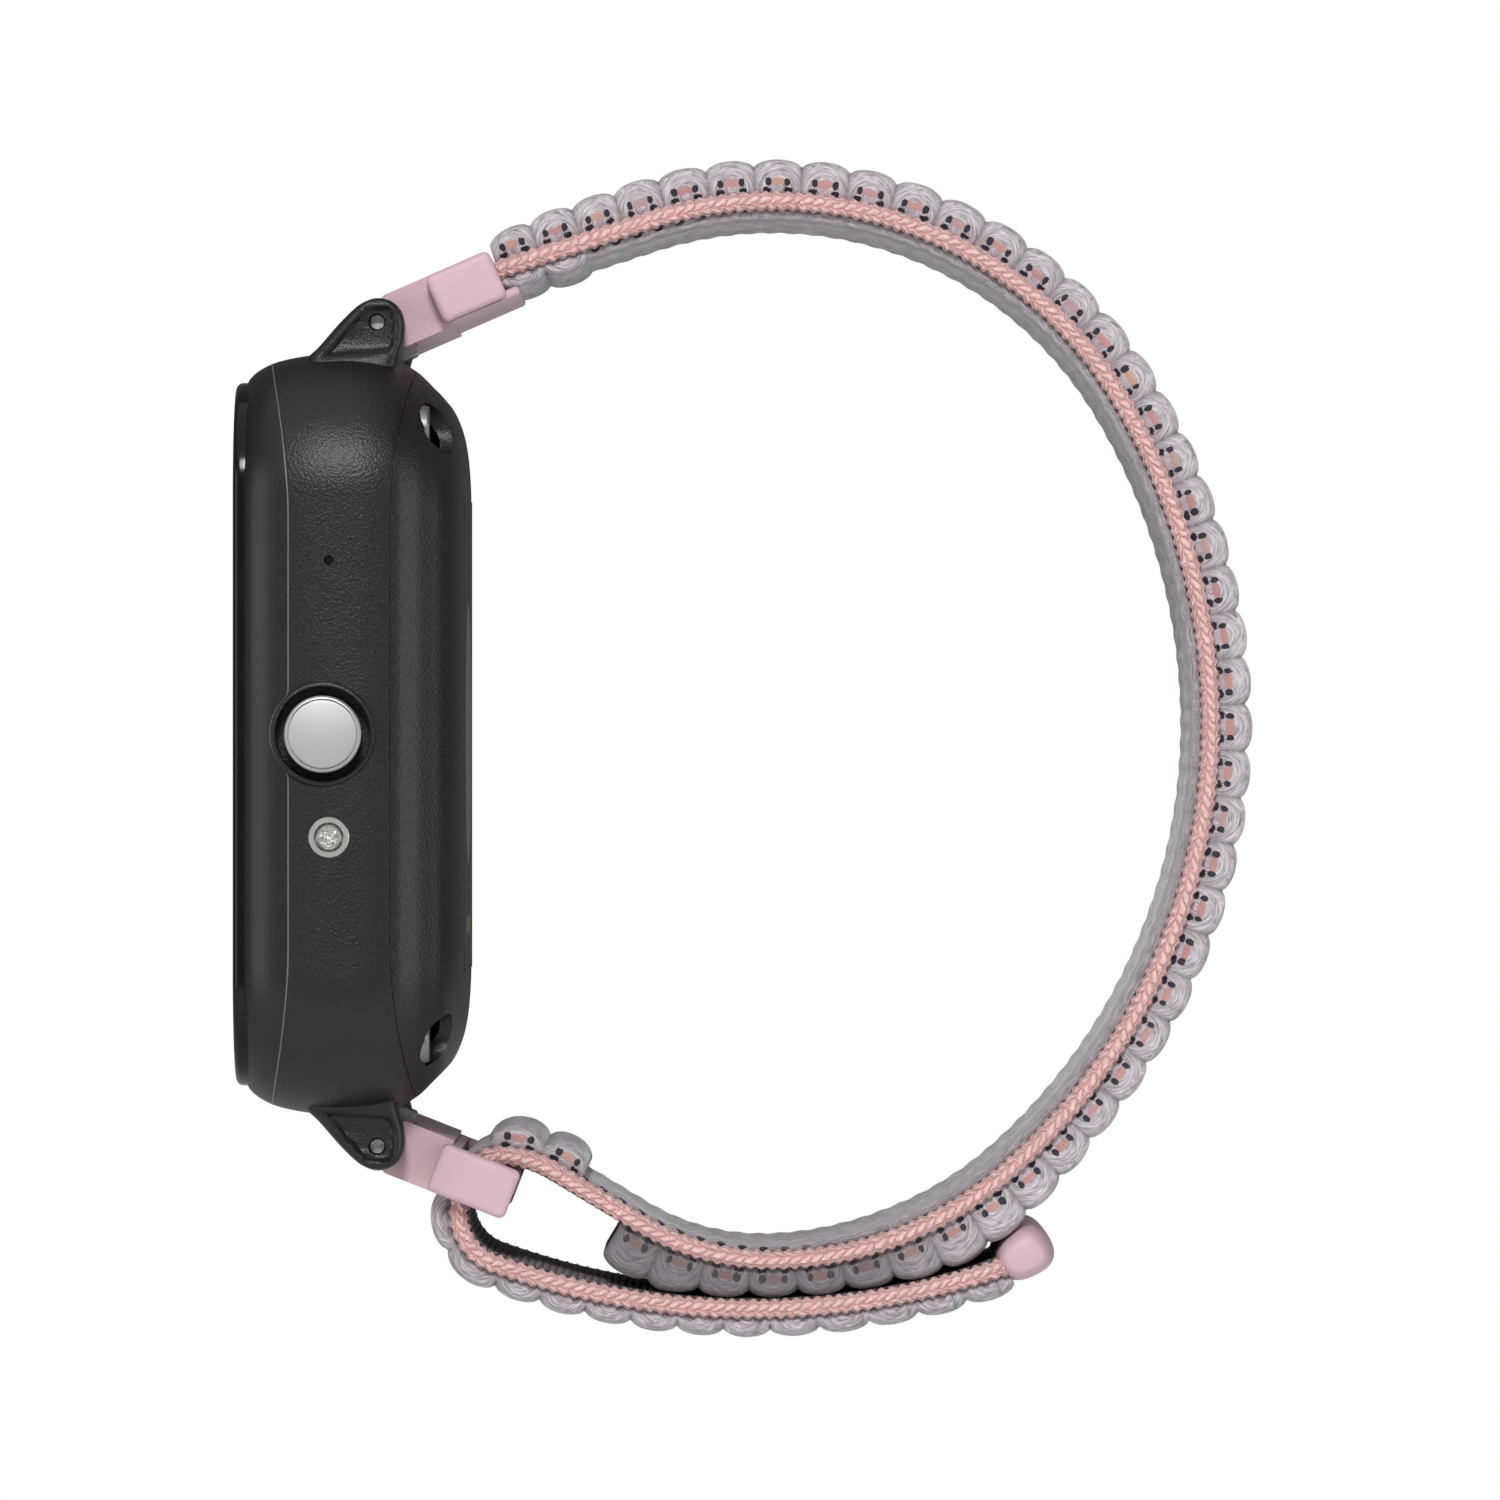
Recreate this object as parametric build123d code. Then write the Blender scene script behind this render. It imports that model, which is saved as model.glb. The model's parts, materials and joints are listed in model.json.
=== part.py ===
"""Activity watch on a woven loop strap: case, quick-release connectors and a fold-back strap.

Millimetres. X runs across the wrist towards the button, +Y from the case back into the
strap loop, +Z towards the upper lugs. The origin is the centre of the flat case back.
"""
import math
import os

from build123d import *

os.makedirs("parts", exist_ok=True)

# Case envelope
CASE_WIDTH = 37.0
CASE_HEIGHT = 43.4
CASE_DEPTH = 13.0
CASE_CORNER = 8.0
FRONT_ROUND = 1.4
DOME_START = -3.4
DOME_STEPS = ((-3.4, 0.35), (-2.4, 1.15), (-1.1, 2.7), (-0.3, 5.0), (0.0, 7.8))
DOME_MIN_CORNER = 2.0
SHOULDER_DEPTH = 1.0

# Parting lines of the case, each flat in the middle and swept at the ends
BEZEL_HEIGHT = 2.67
BEZEL_SWEEP = 1.1
BACK_SPLIT = -4.29
BACK_SWEEP = 1.4
SPLIT_END_FLAT = 9.2
SPLIT_OVERRUN = 5.0

# Case walls
SIDE_WALL = 3.5
END_WALL = 3.6
CAVITY_CORNER = 6.2
BACK_FLOOR = 1.7
BACK_CAVITY_INSET = 1.5
GASKET_GAP = 0.35
GASKET_WIDTH = 0.45
GASKET_FRONT = -4.7
GASKET_BACK = -3.1

# Glass and display
GLASS_PROUD = 0.5
GLASS_EDGE = 1.65
GLASS_THICK = 1.5
GLASS_CORNER = 6.3
GLASS_FIT = 0.05
DISPLAY_THICK = 1.1
DISPLAY_INSET = 0.15
RIBBON_WIDTH = 10.0
RIBBON_THICK = 0.15
RIBBON_TAIL = 2.0

# Lugs
PIN_Y = -4.94
PIN_RISE = 1.79
LUG_THICK = 3.0
LUG_FRONT = 4.26
LUG_NOSE = 0.9
LUG_TIP = 1.55
LUG_BACK = 1.8
LUG_ROOT = 4.6
LUG_CROTCH = 1.3
LUG_ROUND = 1.4
RELIEF_R = 2.85

# Spring bars
TIP_R = 0.4
LUG_HOLE_FIT = 0.1
TIP_REACH = 1.6
TIP_LENGTH = 5.8
TIP_FIT = 0.06
TIP_COLLAR = 2.0
TUBE_WALL = 0.3
TUBE_FIT = 0.05
SPRING_WIRE = 0.22
SPRING_PITCH = 0.75
SPRING_FIT = 0.06
SPRING_END_FIT = 0.1
RELEASE_TRAVEL = 1.8
KNOB_INSET = 0.4
KNOB_LENGTH = 1.4
KNOB_REACH = 1.4
KNOB_PROUD = 0.7
KNOB_POST = 0.5
KNOB_ROUND = 0.2
KNOB_FIT = 0.15

# Strap section
STRAP_WIDTH = 20.0
CORE_HALF = 0.5
PILE_INNER = 0.9
PILE_OUTER = 1.6
TAIL_OUTER = 1.2
FLEX_GAP = 0.5
PEEL_GAP = 0.6
ROOT_DEPTH = 1.5
ROOT_V = 0.1

# Connectors, in their own frame: u runs from the pin to the strap, v to the outside
TAB_SIDE_FIT = 0.2
TAB_OUTER = 1.35
TAB_INNER = 1.85
TAB_NOSE = 1.45
TAB_START = 0.6
TAB_ROUND = 0.4
SHOULDER = 3.45
SHOULDER_LAP = 0.5
BLOCK_END = 7.4
BLOCK_OUTER = 1.3
BLOCK_INNER = 1.6
BLOCK_ROUND = 0.4
CONNECTOR_OVERHANG = 1.6
UPPER_TILT = 23.5
LOWER_TILT = 21.5
FRAME_END = 8.2
CROSSBAR_END = 4.5
END_BAR_R = 0.95
END_BAR_U = 7.25
END_BAR_V = -0.33
END_BAR_LAP = 0.5
SLOT_SIDE_FIT = 0.4

# Strap route, from the upper connector round the wrist to the lower one
LEAVE_HEADING = 18.0
UPPER_RUN = 9.1
CROWN_SHARE = 0.68
UPPER_BACK_SHARE = 1.06
LOWER_BACK_SHARE = 1.00
HEEL_SHARE = 0.60
CHIN_SHARE = 0.43
CROWN_EXIT = -58.5
HEEL_ENTRY = -139.0
CHIN_EXIT = -211.0
KICK_R = 6.0
WRAP_FIT = 0.3
SLOT_RUN = 1.2
RETURN_R = 3.0
TAIL_ENTRY = -20.0
TAIL_EXIT = 19.0
TAIL_R = 43.5
HOOK_RUN = 10.5

# Places along the route where the strap bends, as shares of its length
FLEX_SHARES = (0.105, 0.29, 0.47, 0.65)
TAIL_SHARES = (0.0, 0.36, 0.68)

# End cap
CAP_R = 1.6
CAP_LENGTH = 3.2
CAP_OVERHANG = 0.6
CAP_ROUND = 0.99
CAP_DROP = 0.35

# Button
BUTTON_SETBACK = 2.0
BUTTON_R = 2.17
BUTTON_PROUD = 0.9
BUTTON_THICK = 1.4
BUTTON_BEVEL = 0.18
BUTTON_TRAVEL = 0.4
RECESS_MARGIN = 0.73
RECESS_DEPTH = 1.0
BOSS_RIM = 0.4
BOSS_PROUD = 0.3
BOSS_ROOT = 0.3
STEM_R = 0.9
STEM_FIT = 0.05
STEM_REACH = 0.5
CLIP_R = 1.6
CLIP_THICK = 0.28
CLIP_FIT = 0.03
SEAL_WIDTH = 0.45
SEAL_THICK = 0.8
SEAL_FIT = 0.05
SWITCH_LENGTH = 2.5
SWITCH_HALF_WIDTH = 2.0
SWITCH_RISE = 1.3
PLUNGER_R = 0.6
PLUNGER_REACH = 0.5

# Side lamp and microphone
PORT_SETBACK = 2.34
LAMP_Z = -5.83
LAMP_R = 1.15
LAMP_LENS_R = 0.75
LAMP_RING_DEPTH = 1.2
LAMP_PROUD = 0.1
LED_LENGTH = 1.25
LED_HALF_WIDTH = 0.9
LED_RISE = 0.7
MIC_Z = 9.83
MIC_HOLE_R = 0.29
MIC_LENGTH = 2.35
MIC_HALF_WIDTH = 1.1
MIC_RISE = 0.8

# Back screws
SCREW_INSET_X = 4.2
SCREW_INSET_Z = 4.3
SCREW_R = 0.7
SCREW_FIT = 0.05
SCREW_END_FIT = 0.2
SCREW_HEAD_MARGIN = 0.55
SCREW_HEAD = 0.8
SCREW_SEAT = -2.4
SCREW_LENGTH = 5.4
COUNTERBORE_FIT = 0.25
DRIVE_SHARE = 0.6
DRIVE_WIDTH = 0.3
DRIVE_DEPTH = 0.35

# Sensor and charging contacts
WINDOW_R = 7.5
WINDOW_THICK = 1.2
WINDOW_LEDGE = 0.8
SENSOR_BOARD_SIZE = 17.0
SENSOR_BOARD_CORNER = 2.0
SENSOR_BOARD_THICK = 0.6
EMITTER_HALF = 1.1
DETECTOR_HALF = 0.9
DETECTOR_RING = 3.8
CONTACT_R = 0.6
CONTACT_Z = -11.0
CONTACT_PITCH = 2.6
CONTACT_COUNT = 4
CONTACT_TAIL = 0.5

# Board, cell and large components
BOARD_BACK = -6.2
BOARD_THICK = 0.8
BOARD_INSET = 0.4
BOARD_NOTCH_FIT = 0.3
COMPONENT_FIT = 0.05
CELL_MARGIN_X = 3.5
CELL_MARGIN_Z = 5.6
CELL_CORNER = 2.0
SHIELD_WIDTH = 16.0
SHIELD_HEIGHT = 14.0
SHIELD_RISE = 1.5
SHIELD_ROUND = 0.8
SHIELD_X = -1.0
SHIELD_Z = 8.0
MOTOR_R = 4.0
MOTOR_RISE = 2.3
MOTOR_INSET_X = 6.5
MOTOR_INSET_Z = 7.6

# Derived sizes
HALF_X = CASE_WIDTH / 2
HALF_Z = CASE_HEIGHT / 2
CAVITY_WIDTH = CASE_WIDTH - 2 * SIDE_WALL
CAVITY_HEIGHT = CASE_HEIGHT - 2 * END_WALL
WALL_X = CAVITY_WIDTH / 2
WALL_Z = CAVITY_HEIGHT / 2
BEZEL_FRONT = -CASE_DEPTH + GLASS_PROUD
BEZEL_SPLIT = BEZEL_FRONT + BEZEL_HEIGHT
GLASS_BACK = -CASE_DEPTH + GLASS_THICK
DISPLAY_BACK = GLASS_BACK + DISPLAY_THICK
BOARD_FRONT = BOARD_BACK - BOARD_THICK
PIN_Z = HALF_Z + PIN_RISE
LUG_IN = STRAP_WIDTH / 2
CONNECTOR_HALF = LUG_IN + CONNECTOR_OVERHANG
TAB_HALF = LUG_IN - TAB_SIDE_FIT
TIP_OUT = LUG_IN + TIP_REACH
LUG_HOLE_R = TIP_R + LUG_HOLE_FIT
TUBE_BORE = TIP_R + TIP_FIT
TUBE_R = TUBE_BORE + TUBE_WALL
WRAP_R = END_BAR_R + WRAP_FIT + CORE_HALF
BUTTON_Y = BEZEL_SPLIT + BUTTON_SETBACK
SIDE_PORT_Y = BEZEL_SPLIT + PORT_SETBACK
RECESS_R = BUTTON_R + RECESS_MARGIN
BOSS_R = RECESS_R + BOSS_RIM
STEM_END = WALL_X - STEM_REACH
SCREW_X = HALF_X - SCREW_INSET_X
SCREW_Z = HALF_Z - SCREW_INSET_Z
SCREW_HEAD_R = SCREW_R + SCREW_HEAD_MARGIN
COUNTERBORE_R = SCREW_HEAD_R + COUNTERBORE_FIT
SENSOR_BOARD_FRONT = -BACK_FLOOR - SENSOR_BOARD_THICK
FAR = 60.0


def slab(width, height, corner, y_front, y_back):
    """Rounded rectangle in the XZ plane, filled from y_front to y_back."""
    outline = Plane.XZ.offset(-y_back) * RectangleRounded(width, height, corner)
    return extrude(outline, y_back - y_front)


def box(x0, x1, y0, y1, z0, z1):
    """Box between two corners."""
    centre = ((x0 + x1) / 2, (y0 + y1) / 2, (z0 + z1) / 2)
    return Pos(*centre) * Box(x1 - x0, y1 - y0, z1 - z0)


def rod_x(radius, x0, x1, y, z):
    """Round bar along X."""
    return Pos((x0 + x1) / 2, y, z) * Rot(0, 90, 0) * Cylinder(radius, x1 - x0)


def rod_y(radius, y0, y1, x, z):
    """Round bar along Y."""
    return Pos(x, (y0 + y1) / 2, z) * Rot(90, 0, 0) * Cylinder(radius, y1 - y0)


def prism_x(points, half_width):
    """Polygon in the YZ plane, extruded both ways along X."""
    outline = Polyline(*[(0, y, z) for y, z in points], close=True)
    return extrude(make_face(outline), half_width, dir=(1, 0, 0), both=True)


# ---- case ---------------------------------------------------------------

def envelope():
    """Outer shape of the closed case, without lugs."""
    body = slab(CASE_WIDTH, CASE_HEIGHT, CASE_CORNER, BEZEL_FRONT, DOME_START)
    front_edges = body.faces().sort_by(Axis.Y)[0].edges()
    body = fillet(front_edges, FRONT_ROUND)
    sections = []
    for y, inset in DOME_STEPS:
        corner = max(CASE_CORNER - inset, DOME_MIN_CORNER)
        outline = RectangleRounded(CASE_WIDTH - 2 * inset, CASE_HEIGHT - 2 * inset, corner)
        sections.append(Plane.XZ.offset(-y) * outline)
    base = DOME_START - SHOULDER_DEPTH
    shoulder = slab(CASE_WIDTH, CASE_HEIGHT, CASE_CORNER, base, DOME_START)
    shoulder = chamfer(shoulder.faces().sort_by(Axis.Y)[-1].edges(), DOME_STEPS[0][1])
    keep = slab(CASE_WIDTH, CASE_HEIGHT, CASE_CORNER, BEZEL_FRONT - 1, base)
    return (body & keep) + shoulder + loft(sections)


def split_region(level, sweep, towards):
    """Everything on one side of a parting surface that sweeps away at its two ends."""
    flat = HALF_Z - SPLIT_END_FLAT
    end = HALF_Z + SPLIT_OVERRUN
    bend = flat + (end - flat) * 0.4
    edge = level + sweep * 1.8
    edges = [Line((0, level, -flat), (0, level, flat)),
             Line((0, edge, -end), (0, towards, -end)),
             Line((0, towards, -end), (0, towards, end)),
             Line((0, towards, end), (0, edge, end))]
    for side in (-1, 1):
        stations = [(0, level, side * flat), (0, level + sweep * 0.3, side * bend),
                    (0, edge, side * end)]
        edges.append(Spline(stations, tangents=[(0, 0, side), (0, sweep / 4, side)]))
    return extrude(make_face(edges), FAR, dir=(1, 0, 0), both=True)


def lug(side, end):
    """One lug, rooted in the case wall, with its spring bar hole."""
    root = PIN_Z - LUG_ROOT
    shelf = PIN_Z - PIN_RISE - LUG_NOSE / 2
    front = PIN_Y - LUG_FRONT
    back = PIN_Y + LUG_BACK
    points = [(front, root), (front, shelf), (PIN_Y - LUG_NOSE, PIN_Z + LUG_TIP),
              (back, PIN_Z + LUG_TIP), (back, PIN_Z - LUG_CROTCH),
              (back - LUG_NOSE, shelf), (back - LUG_CROTCH, root)]
    body = Pos(LUG_IN + LUG_THICK / 2, 0, 0) * prism_x(points, LUG_THICK / 2)
    tips = body.edges().filter_by(Axis.X).sort_by(Axis.Z)[-2:]
    body = fillet(tips, LUG_ROUND)
    body -= rod_x(LUG_HOLE_R, LUG_IN - 1, LUG_IN + LUG_THICK + 1, PIN_Y, PIN_Z)
    if side < 0:
        body = mirror(body, Plane.YZ)
    if end < 0:
        body = mirror(body, Plane.XY)
    return body


def bar_relief(end):
    """Space between two lugs in which the connector swings."""
    return rod_x(RELIEF_R, -LUG_IN, LUG_IN, PIN_Y, end * PIN_Z)


def button_boss():
    """Raised seat round the button, part of the middle case."""
    return rod_x(BOSS_R, WALL_X + BOSS_ROOT, HALF_X + BOSS_PROUD, BUTTON_Y, 0)


def glass_pocket():
    """Space for the glass, with its clearance."""
    fit = 2 * GLASS_FIT
    return slab(CASE_WIDTH - 2 * GLASS_EDGE + fit, CASE_HEIGHT - 2 * GLASS_EDGE + fit,
                GLASS_CORNER + GLASS_FIT, -CASE_DEPTH - 1, GLASS_BACK)


def screw_places():
    """Centres of the four back screws, as (x, z)."""
    return [(sx * SCREW_X, sz * SCREW_Z) for sx in (-1, 1) for sz in (-1, 1)]


def gasket_ring():
    """Face seal between the middle case and the back cover."""
    inner_w = CAVITY_WIDTH + 2 * GASKET_GAP
    inner_h = CAVITY_HEIGHT + 2 * GASKET_GAP
    inner_r = CAVITY_CORNER + GASKET_GAP
    spread = 2 * GASKET_WIDTH
    outer = slab(inner_w + spread, inner_h + spread, inner_r + GASKET_WIDTH,
                 GASKET_FRONT, GASKET_BACK)
    return outer - slab(inner_w, inner_h, inner_r, GASKET_FRONT - 1, GASKET_BACK + 1)


def mid_case():
    """Middle of the case with lugs, button boss, side ports and screw holes."""
    body = envelope() - split_region(BEZEL_SPLIT, -BEZEL_SWEEP, -FAR)
    body -= split_region(BACK_SPLIT, BACK_SWEEP, FAR)
    body += button_boss()
    body -= glass_pocket()
    for side in (-1, 1):
        for end in (-1, 1):
            body += lug(side, end)
    for end in (-1, 1):
        body -= bar_relief(end)
    body -= slab(CAVITY_WIDTH, CAVITY_HEIGHT, CAVITY_CORNER, -CASE_DEPTH, 0)
    body -= gasket_ring()
    body -= rod_x(RECESS_R, HALF_X - RECESS_DEPTH, HALF_X + 1, BUTTON_Y, 0)
    body -= rod_x(STEM_R + STEM_FIT, WALL_X - 1, HALF_X, BUTTON_Y, 0)
    body -= rod_x(STEM_R + STEM_FIT + SEAL_WIDTH, HALF_X - RECESS_DEPTH - SEAL_THICK,
                  HALF_X, BUTTON_Y, 0)
    body -= rod_x(LAMP_R, HALF_X - LAMP_RING_DEPTH, HALF_X + 1, SIDE_PORT_Y, LAMP_Z)
    body -= rod_x(LAMP_LENS_R, WALL_X - 1, HALF_X + 1, SIDE_PORT_Y, LAMP_Z)
    body -= rod_x(MIC_HOLE_R, WALL_X - 1, HALF_X + 1, SIDE_PORT_Y, MIC_Z)
    for x, z in screw_places():
        body -= rod_y(SCREW_R + SCREW_FIT, SCREW_SEAT - SCREW_LENGTH - SCREW_END_FIT, 0, x, z)
    return body


def front_bezel():
    """Front frame that carries the glass."""
    body = envelope() & split_region(BEZEL_SPLIT, -BEZEL_SWEEP, -FAR)
    body -= button_boss()
    body -= glass_pocket()
    body -= slab(CAVITY_WIDTH, CAVITY_HEIGHT, CAVITY_CORNER, -CASE_DEPTH, 0)
    return body


def front_glass():
    """Cover glass with softly rounded front edges."""
    body = slab(CASE_WIDTH - 2 * GLASS_EDGE, CASE_HEIGHT - 2 * GLASS_EDGE, GLASS_CORNER,
                -CASE_DEPTH, GLASS_BACK)
    return fillet(body.faces().sort_by(Axis.Y)[0].edges(), GLASS_PROUD * 0.8)


def display_panel():
    """Display module bonded under the glass."""
    inset = 2 * DISPLAY_INSET
    return slab(CAVITY_WIDTH - inset, CAVITY_HEIGHT - inset, CAVITY_CORNER - DISPLAY_INSET,
                GLASS_BACK, DISPLAY_BACK)


def back_cover():
    """Domed back with screw counterbores, sensor opening and contact holes."""
    body = envelope() & split_region(BACK_SPLIT, BACK_SWEEP, FAR)
    for end in (-1, 1):
        body -= bar_relief(end)
    body -= gasket_ring()
    body -= button_boss()
    inset = 2 * BACK_CAVITY_INSET
    body -= slab(CAVITY_WIDTH - inset, CAVITY_HEIGHT - inset, CAVITY_CORNER,
                 -CASE_DEPTH, -BACK_FLOOR)
    for side in (-1, 1):
        for end in (-1, 1):
            body -= lug(side, end)
    for x, z in screw_places():
        body -= rod_y(COUNTERBORE_R, SCREW_SEAT, 1, x, z)
        body -= rod_y(SCREW_R + SCREW_FIT, -CASE_DEPTH, 0, x, z)
    body -= rod_y(WINDOW_R, -WINDOW_THICK, 1, 0, 0)
    body -= rod_y(WINDOW_R - WINDOW_LEDGE, -BACK_FLOOR - 1, 0, 0, 0)
    for x in contact_places():
        body -= rod_y(CONTACT_R, -BACK_FLOOR - 1, 1, x, CONTACT_Z)
    return body


def together(shapes):
    """Several like solids as one node."""
    return Compound(children=[solid for shape in shapes for solid in shape.solids()])


def back_screws():
    """Four identical cover screws with cross-cut heads."""
    top = SCREW_SEAT + SCREW_HEAD
    arm = SCREW_HEAD_R * DRIVE_SHARE
    half = DRIVE_WIDTH / 2
    screws = []
    for x, z in screw_places():
        screw = rod_y(SCREW_HEAD_R, SCREW_SEAT, top, x, z)
        screw += rod_y(SCREW_R, SCREW_SEAT - SCREW_LENGTH, SCREW_SEAT, x, z)
        screw -= box(x - arm, x + arm, top - DRIVE_DEPTH, top + 1, z - half, z + half)
        screw -= box(x - half, x + half, top - DRIVE_DEPTH, top + 1, z - arm, z + arm)
        screws.append(screw)
    return together(screws)


def contact_places():
    """X positions of the charging contacts."""
    first = -CONTACT_PITCH * (CONTACT_COUNT - 1) / 2
    return [first + CONTACT_PITCH * i for i in range(CONTACT_COUNT)]


def charge_contacts():
    """Row of charging contacts, flush with the back."""
    start = -BACK_FLOOR - CONTACT_TAIL
    return together([rod_y(CONTACT_R, start, 0, x, CONTACT_Z) for x in contact_places()])


def sensor_window():
    """Round clear window over the optical sensor."""
    return rod_y(WINDOW_R, -WINDOW_THICK, 0, 0, 0)


def sensor_board():
    """Optical sensor board on the floor of the back cover."""
    return slab(SENSOR_BOARD_SIZE, SENSOR_BOARD_SIZE, SENSOR_BOARD_CORNER,
                SENSOR_BOARD_FRONT, -BACK_FLOOR)


def sensor_leds():
    """Light source and four detectors on the sensor board, under the window."""
    top = -WINDOW_THICK - COMPONENT_FIT
    places = [(0, 0, EMITTER_HALF)]
    for x, z in ((1, 0), (-1, 0), (0, 1), (0, -1)):
        places.append((x * DETECTOR_RING, z * DETECTOR_RING, DETECTOR_HALF))
    chips = [box(x - half, x + half, -BACK_FLOOR, top, z - half, z + half)
             for x, z, half in places]
    return together(chips)


def battery():
    """Pouch cell between the main board and the sensor board."""
    return slab(CAVITY_WIDTH - 2 * CELL_MARGIN_X, CAVITY_HEIGHT - 2 * CELL_MARGIN_Z, CELL_CORNER,
                BOARD_BACK + COMPONENT_FIT, SENSOR_BOARD_FRONT - COMPONENT_FIT)


def main_board():
    """Main circuit board across the middle case."""
    inset = 2 * BOARD_INSET
    board = slab(CAVITY_WIDTH - inset, CAVITY_HEIGHT - inset, CAVITY_CORNER - BOARD_INSET,
                 BOARD_FRONT, BOARD_BACK)
    notch = CLIP_R + BOARD_NOTCH_FIT
    low_x = STEM_END - BUTTON_TRAVEL - BOARD_NOTCH_FIT
    return board - box(low_x, WALL_X, BOARD_FRONT - 1, BOARD_BACK + 1, -notch, notch)


def shield_can():
    """Screening can over the processor."""
    half_x = SHIELD_WIDTH / 2
    half_z = SHIELD_HEIGHT / 2
    can = box(SHIELD_X - half_x, SHIELD_X + half_x, BOARD_FRONT - SHIELD_RISE, BOARD_FRONT,
              SHIELD_Z - half_z, SHIELD_Z + half_z)
    return fillet(can.edges().filter_by(Axis.Y), SHIELD_ROUND)


def display_flex():
    """Ribbon from the display down to a land on the main board."""
    half = RIBBON_WIDTH / 2
    edge = -WALL_Z + 2 * BOARD_INSET
    ribbon = box(-half, half, DISPLAY_BACK, BOARD_FRONT, edge, edge + RIBBON_THICK)
    return ribbon + box(-half, half, BOARD_FRONT - RIBBON_THICK, BOARD_FRONT, edge,
                        edge + RIBBON_TAIL)


def vibration_motor():
    """Coin motor on the main board."""
    return rod_y(MOTOR_R, BOARD_FRONT - MOTOR_RISE, BOARD_FRONT, MOTOR_INSET_X - WALL_X,
                 MOTOR_INSET_Z - WALL_Z)


def microphone():
    """Microphone behind its port in the case side."""
    wall = WALL_X - COMPONENT_FIT
    return box(wall - MIC_LENGTH, wall, SIDE_PORT_Y - MIC_RISE, BOARD_FRONT,
               MIC_Z - MIC_HALF_WIDTH, MIC_Z + MIC_HALF_WIDTH)


# ---- button and side lamp -----------------------------------------------

def button_cap():
    """Metal cap with a stepped bevel round its face."""
    face_x = HALF_X + BUTTON_PROUD
    cap = rod_x(BUTTON_R, face_x - BUTTON_THICK, face_x, BUTTON_Y, 0)
    return chamfer(cap.faces().sort_by(Axis.X)[-1].edges(), BUTTON_BEVEL)


def button_stem():
    """Stem from the cap to the switch, with its retaining clip."""
    back_x = HALF_X + BUTTON_PROUD - BUTTON_THICK
    stem = rod_x(STEM_R, STEM_END, back_x, BUTTON_Y, 0)
    clip_x = WALL_X - CLIP_FIT
    return stem + rod_x(CLIP_R, clip_x - CLIP_THICK, clip_x, BUTTON_Y, 0)


def button_seal():
    """Seal ring round the stem, seated under the recess."""
    front = HALF_X - RECESS_DEPTH
    ring = rod_x(STEM_R + STEM_FIT + SEAL_WIDTH, front - SEAL_THICK, front - SEAL_FIT,
                 BUTTON_Y, 0)
    return ring - rod_x(STEM_R + STEM_FIT, front - 2, front + 1, BUTTON_Y, 0)


def button_switch():
    """Side-firing switch on the main board with its plunger."""
    tip = STEM_END - BUTTON_TRAVEL - COMPONENT_FIT
    face = tip - PLUNGER_REACH
    body = box(face - SWITCH_LENGTH, face, BUTTON_Y - SWITCH_RISE, BOARD_FRONT,
               -SWITCH_HALF_WIDTH, SWITCH_HALF_WIDTH)
    return body + rod_x(PLUNGER_R, face, tip, BUTTON_Y, 0)


def side_lamp_ring():
    """Metal ring round the side lamp."""
    start = HALF_X - LAMP_RING_DEPTH
    ring = rod_x(LAMP_R, start, HALF_X + LAMP_PROUD, SIDE_PORT_Y, LAMP_Z)
    return ring - rod_x(LAMP_LENS_R, start - 1, HALF_X + 1, SIDE_PORT_Y, LAMP_Z)


def side_lamp_lens():
    """Clear light guide through the case wall."""
    return rod_x(LAMP_LENS_R, WALL_X, HALF_X - LAMP_PROUD, SIDE_PORT_Y, LAMP_Z)


def side_lamp_led():
    """Lamp chip on the main board, behind the light guide."""
    wall = WALL_X - COMPONENT_FIT
    return box(wall - LED_LENGTH, wall, SIDE_PORT_Y - LED_RISE, BOARD_FRONT,
               LAMP_Z - LED_HALF_WIDTH, LAMP_Z + LED_HALF_WIDTH)


# ---- connectors and spring bars -----------------------------------------

def place_connector(shape, tilt, end):
    """Carry a connector part from its own frame to the upper or lower lugs."""
    placed = Pos(0, PIN_Y, PIN_Z) * Rot(tilt, 0, 0) * shape
    return mirror(placed, Plane.XY) if end < 0 else placed


def connector_tab():
    """Narrow part of a connector between the lugs."""
    nose = rod_x(TAB_NOSE, -TAB_HALF, TAB_HALF, 0, 0)
    plate = box(-TAB_HALF, TAB_HALF, TAB_START, SHOULDER + SHOULDER_LAP, -TAB_INNER, TAB_OUTER)
    plate = fillet(plate.edges().filter_by(Axis.X).group_by(Axis.Y)[0], TAB_ROUND)
    web = box(-TAB_HALF, TAB_HALF, 0, TAB_START + 2 * TAB_ROUND, -TAB_NOSE,
              TAB_OUTER - TAB_ROUND / 2)
    return nose + plate + web


def knob_start():
    """Low X end of the release knob at rest."""
    return TIP_OUT - TIP_LENGTH + KNOB_INSET


def knob_window():
    """X range that the release knob sweeps, with its clearance."""
    return knob_start() - RELEASE_TRAVEL - KNOB_FIT, knob_start() + KNOB_LENGTH + KNOB_FIT


def bar_cuts():
    """Bore for the spring bar tube and the slot its release knob runs in."""
    bore = rod_x(TUBE_R + TUBE_FIT, -LUG_IN, LUG_IN, 0, 0)
    slot = box(*knob_window(), -KNOB_POST / 2 - KNOB_FIT, KNOB_REACH + KNOB_FIT,
               -TAB_INNER - 1, -TUBE_BORE)
    return bore + slot


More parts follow.
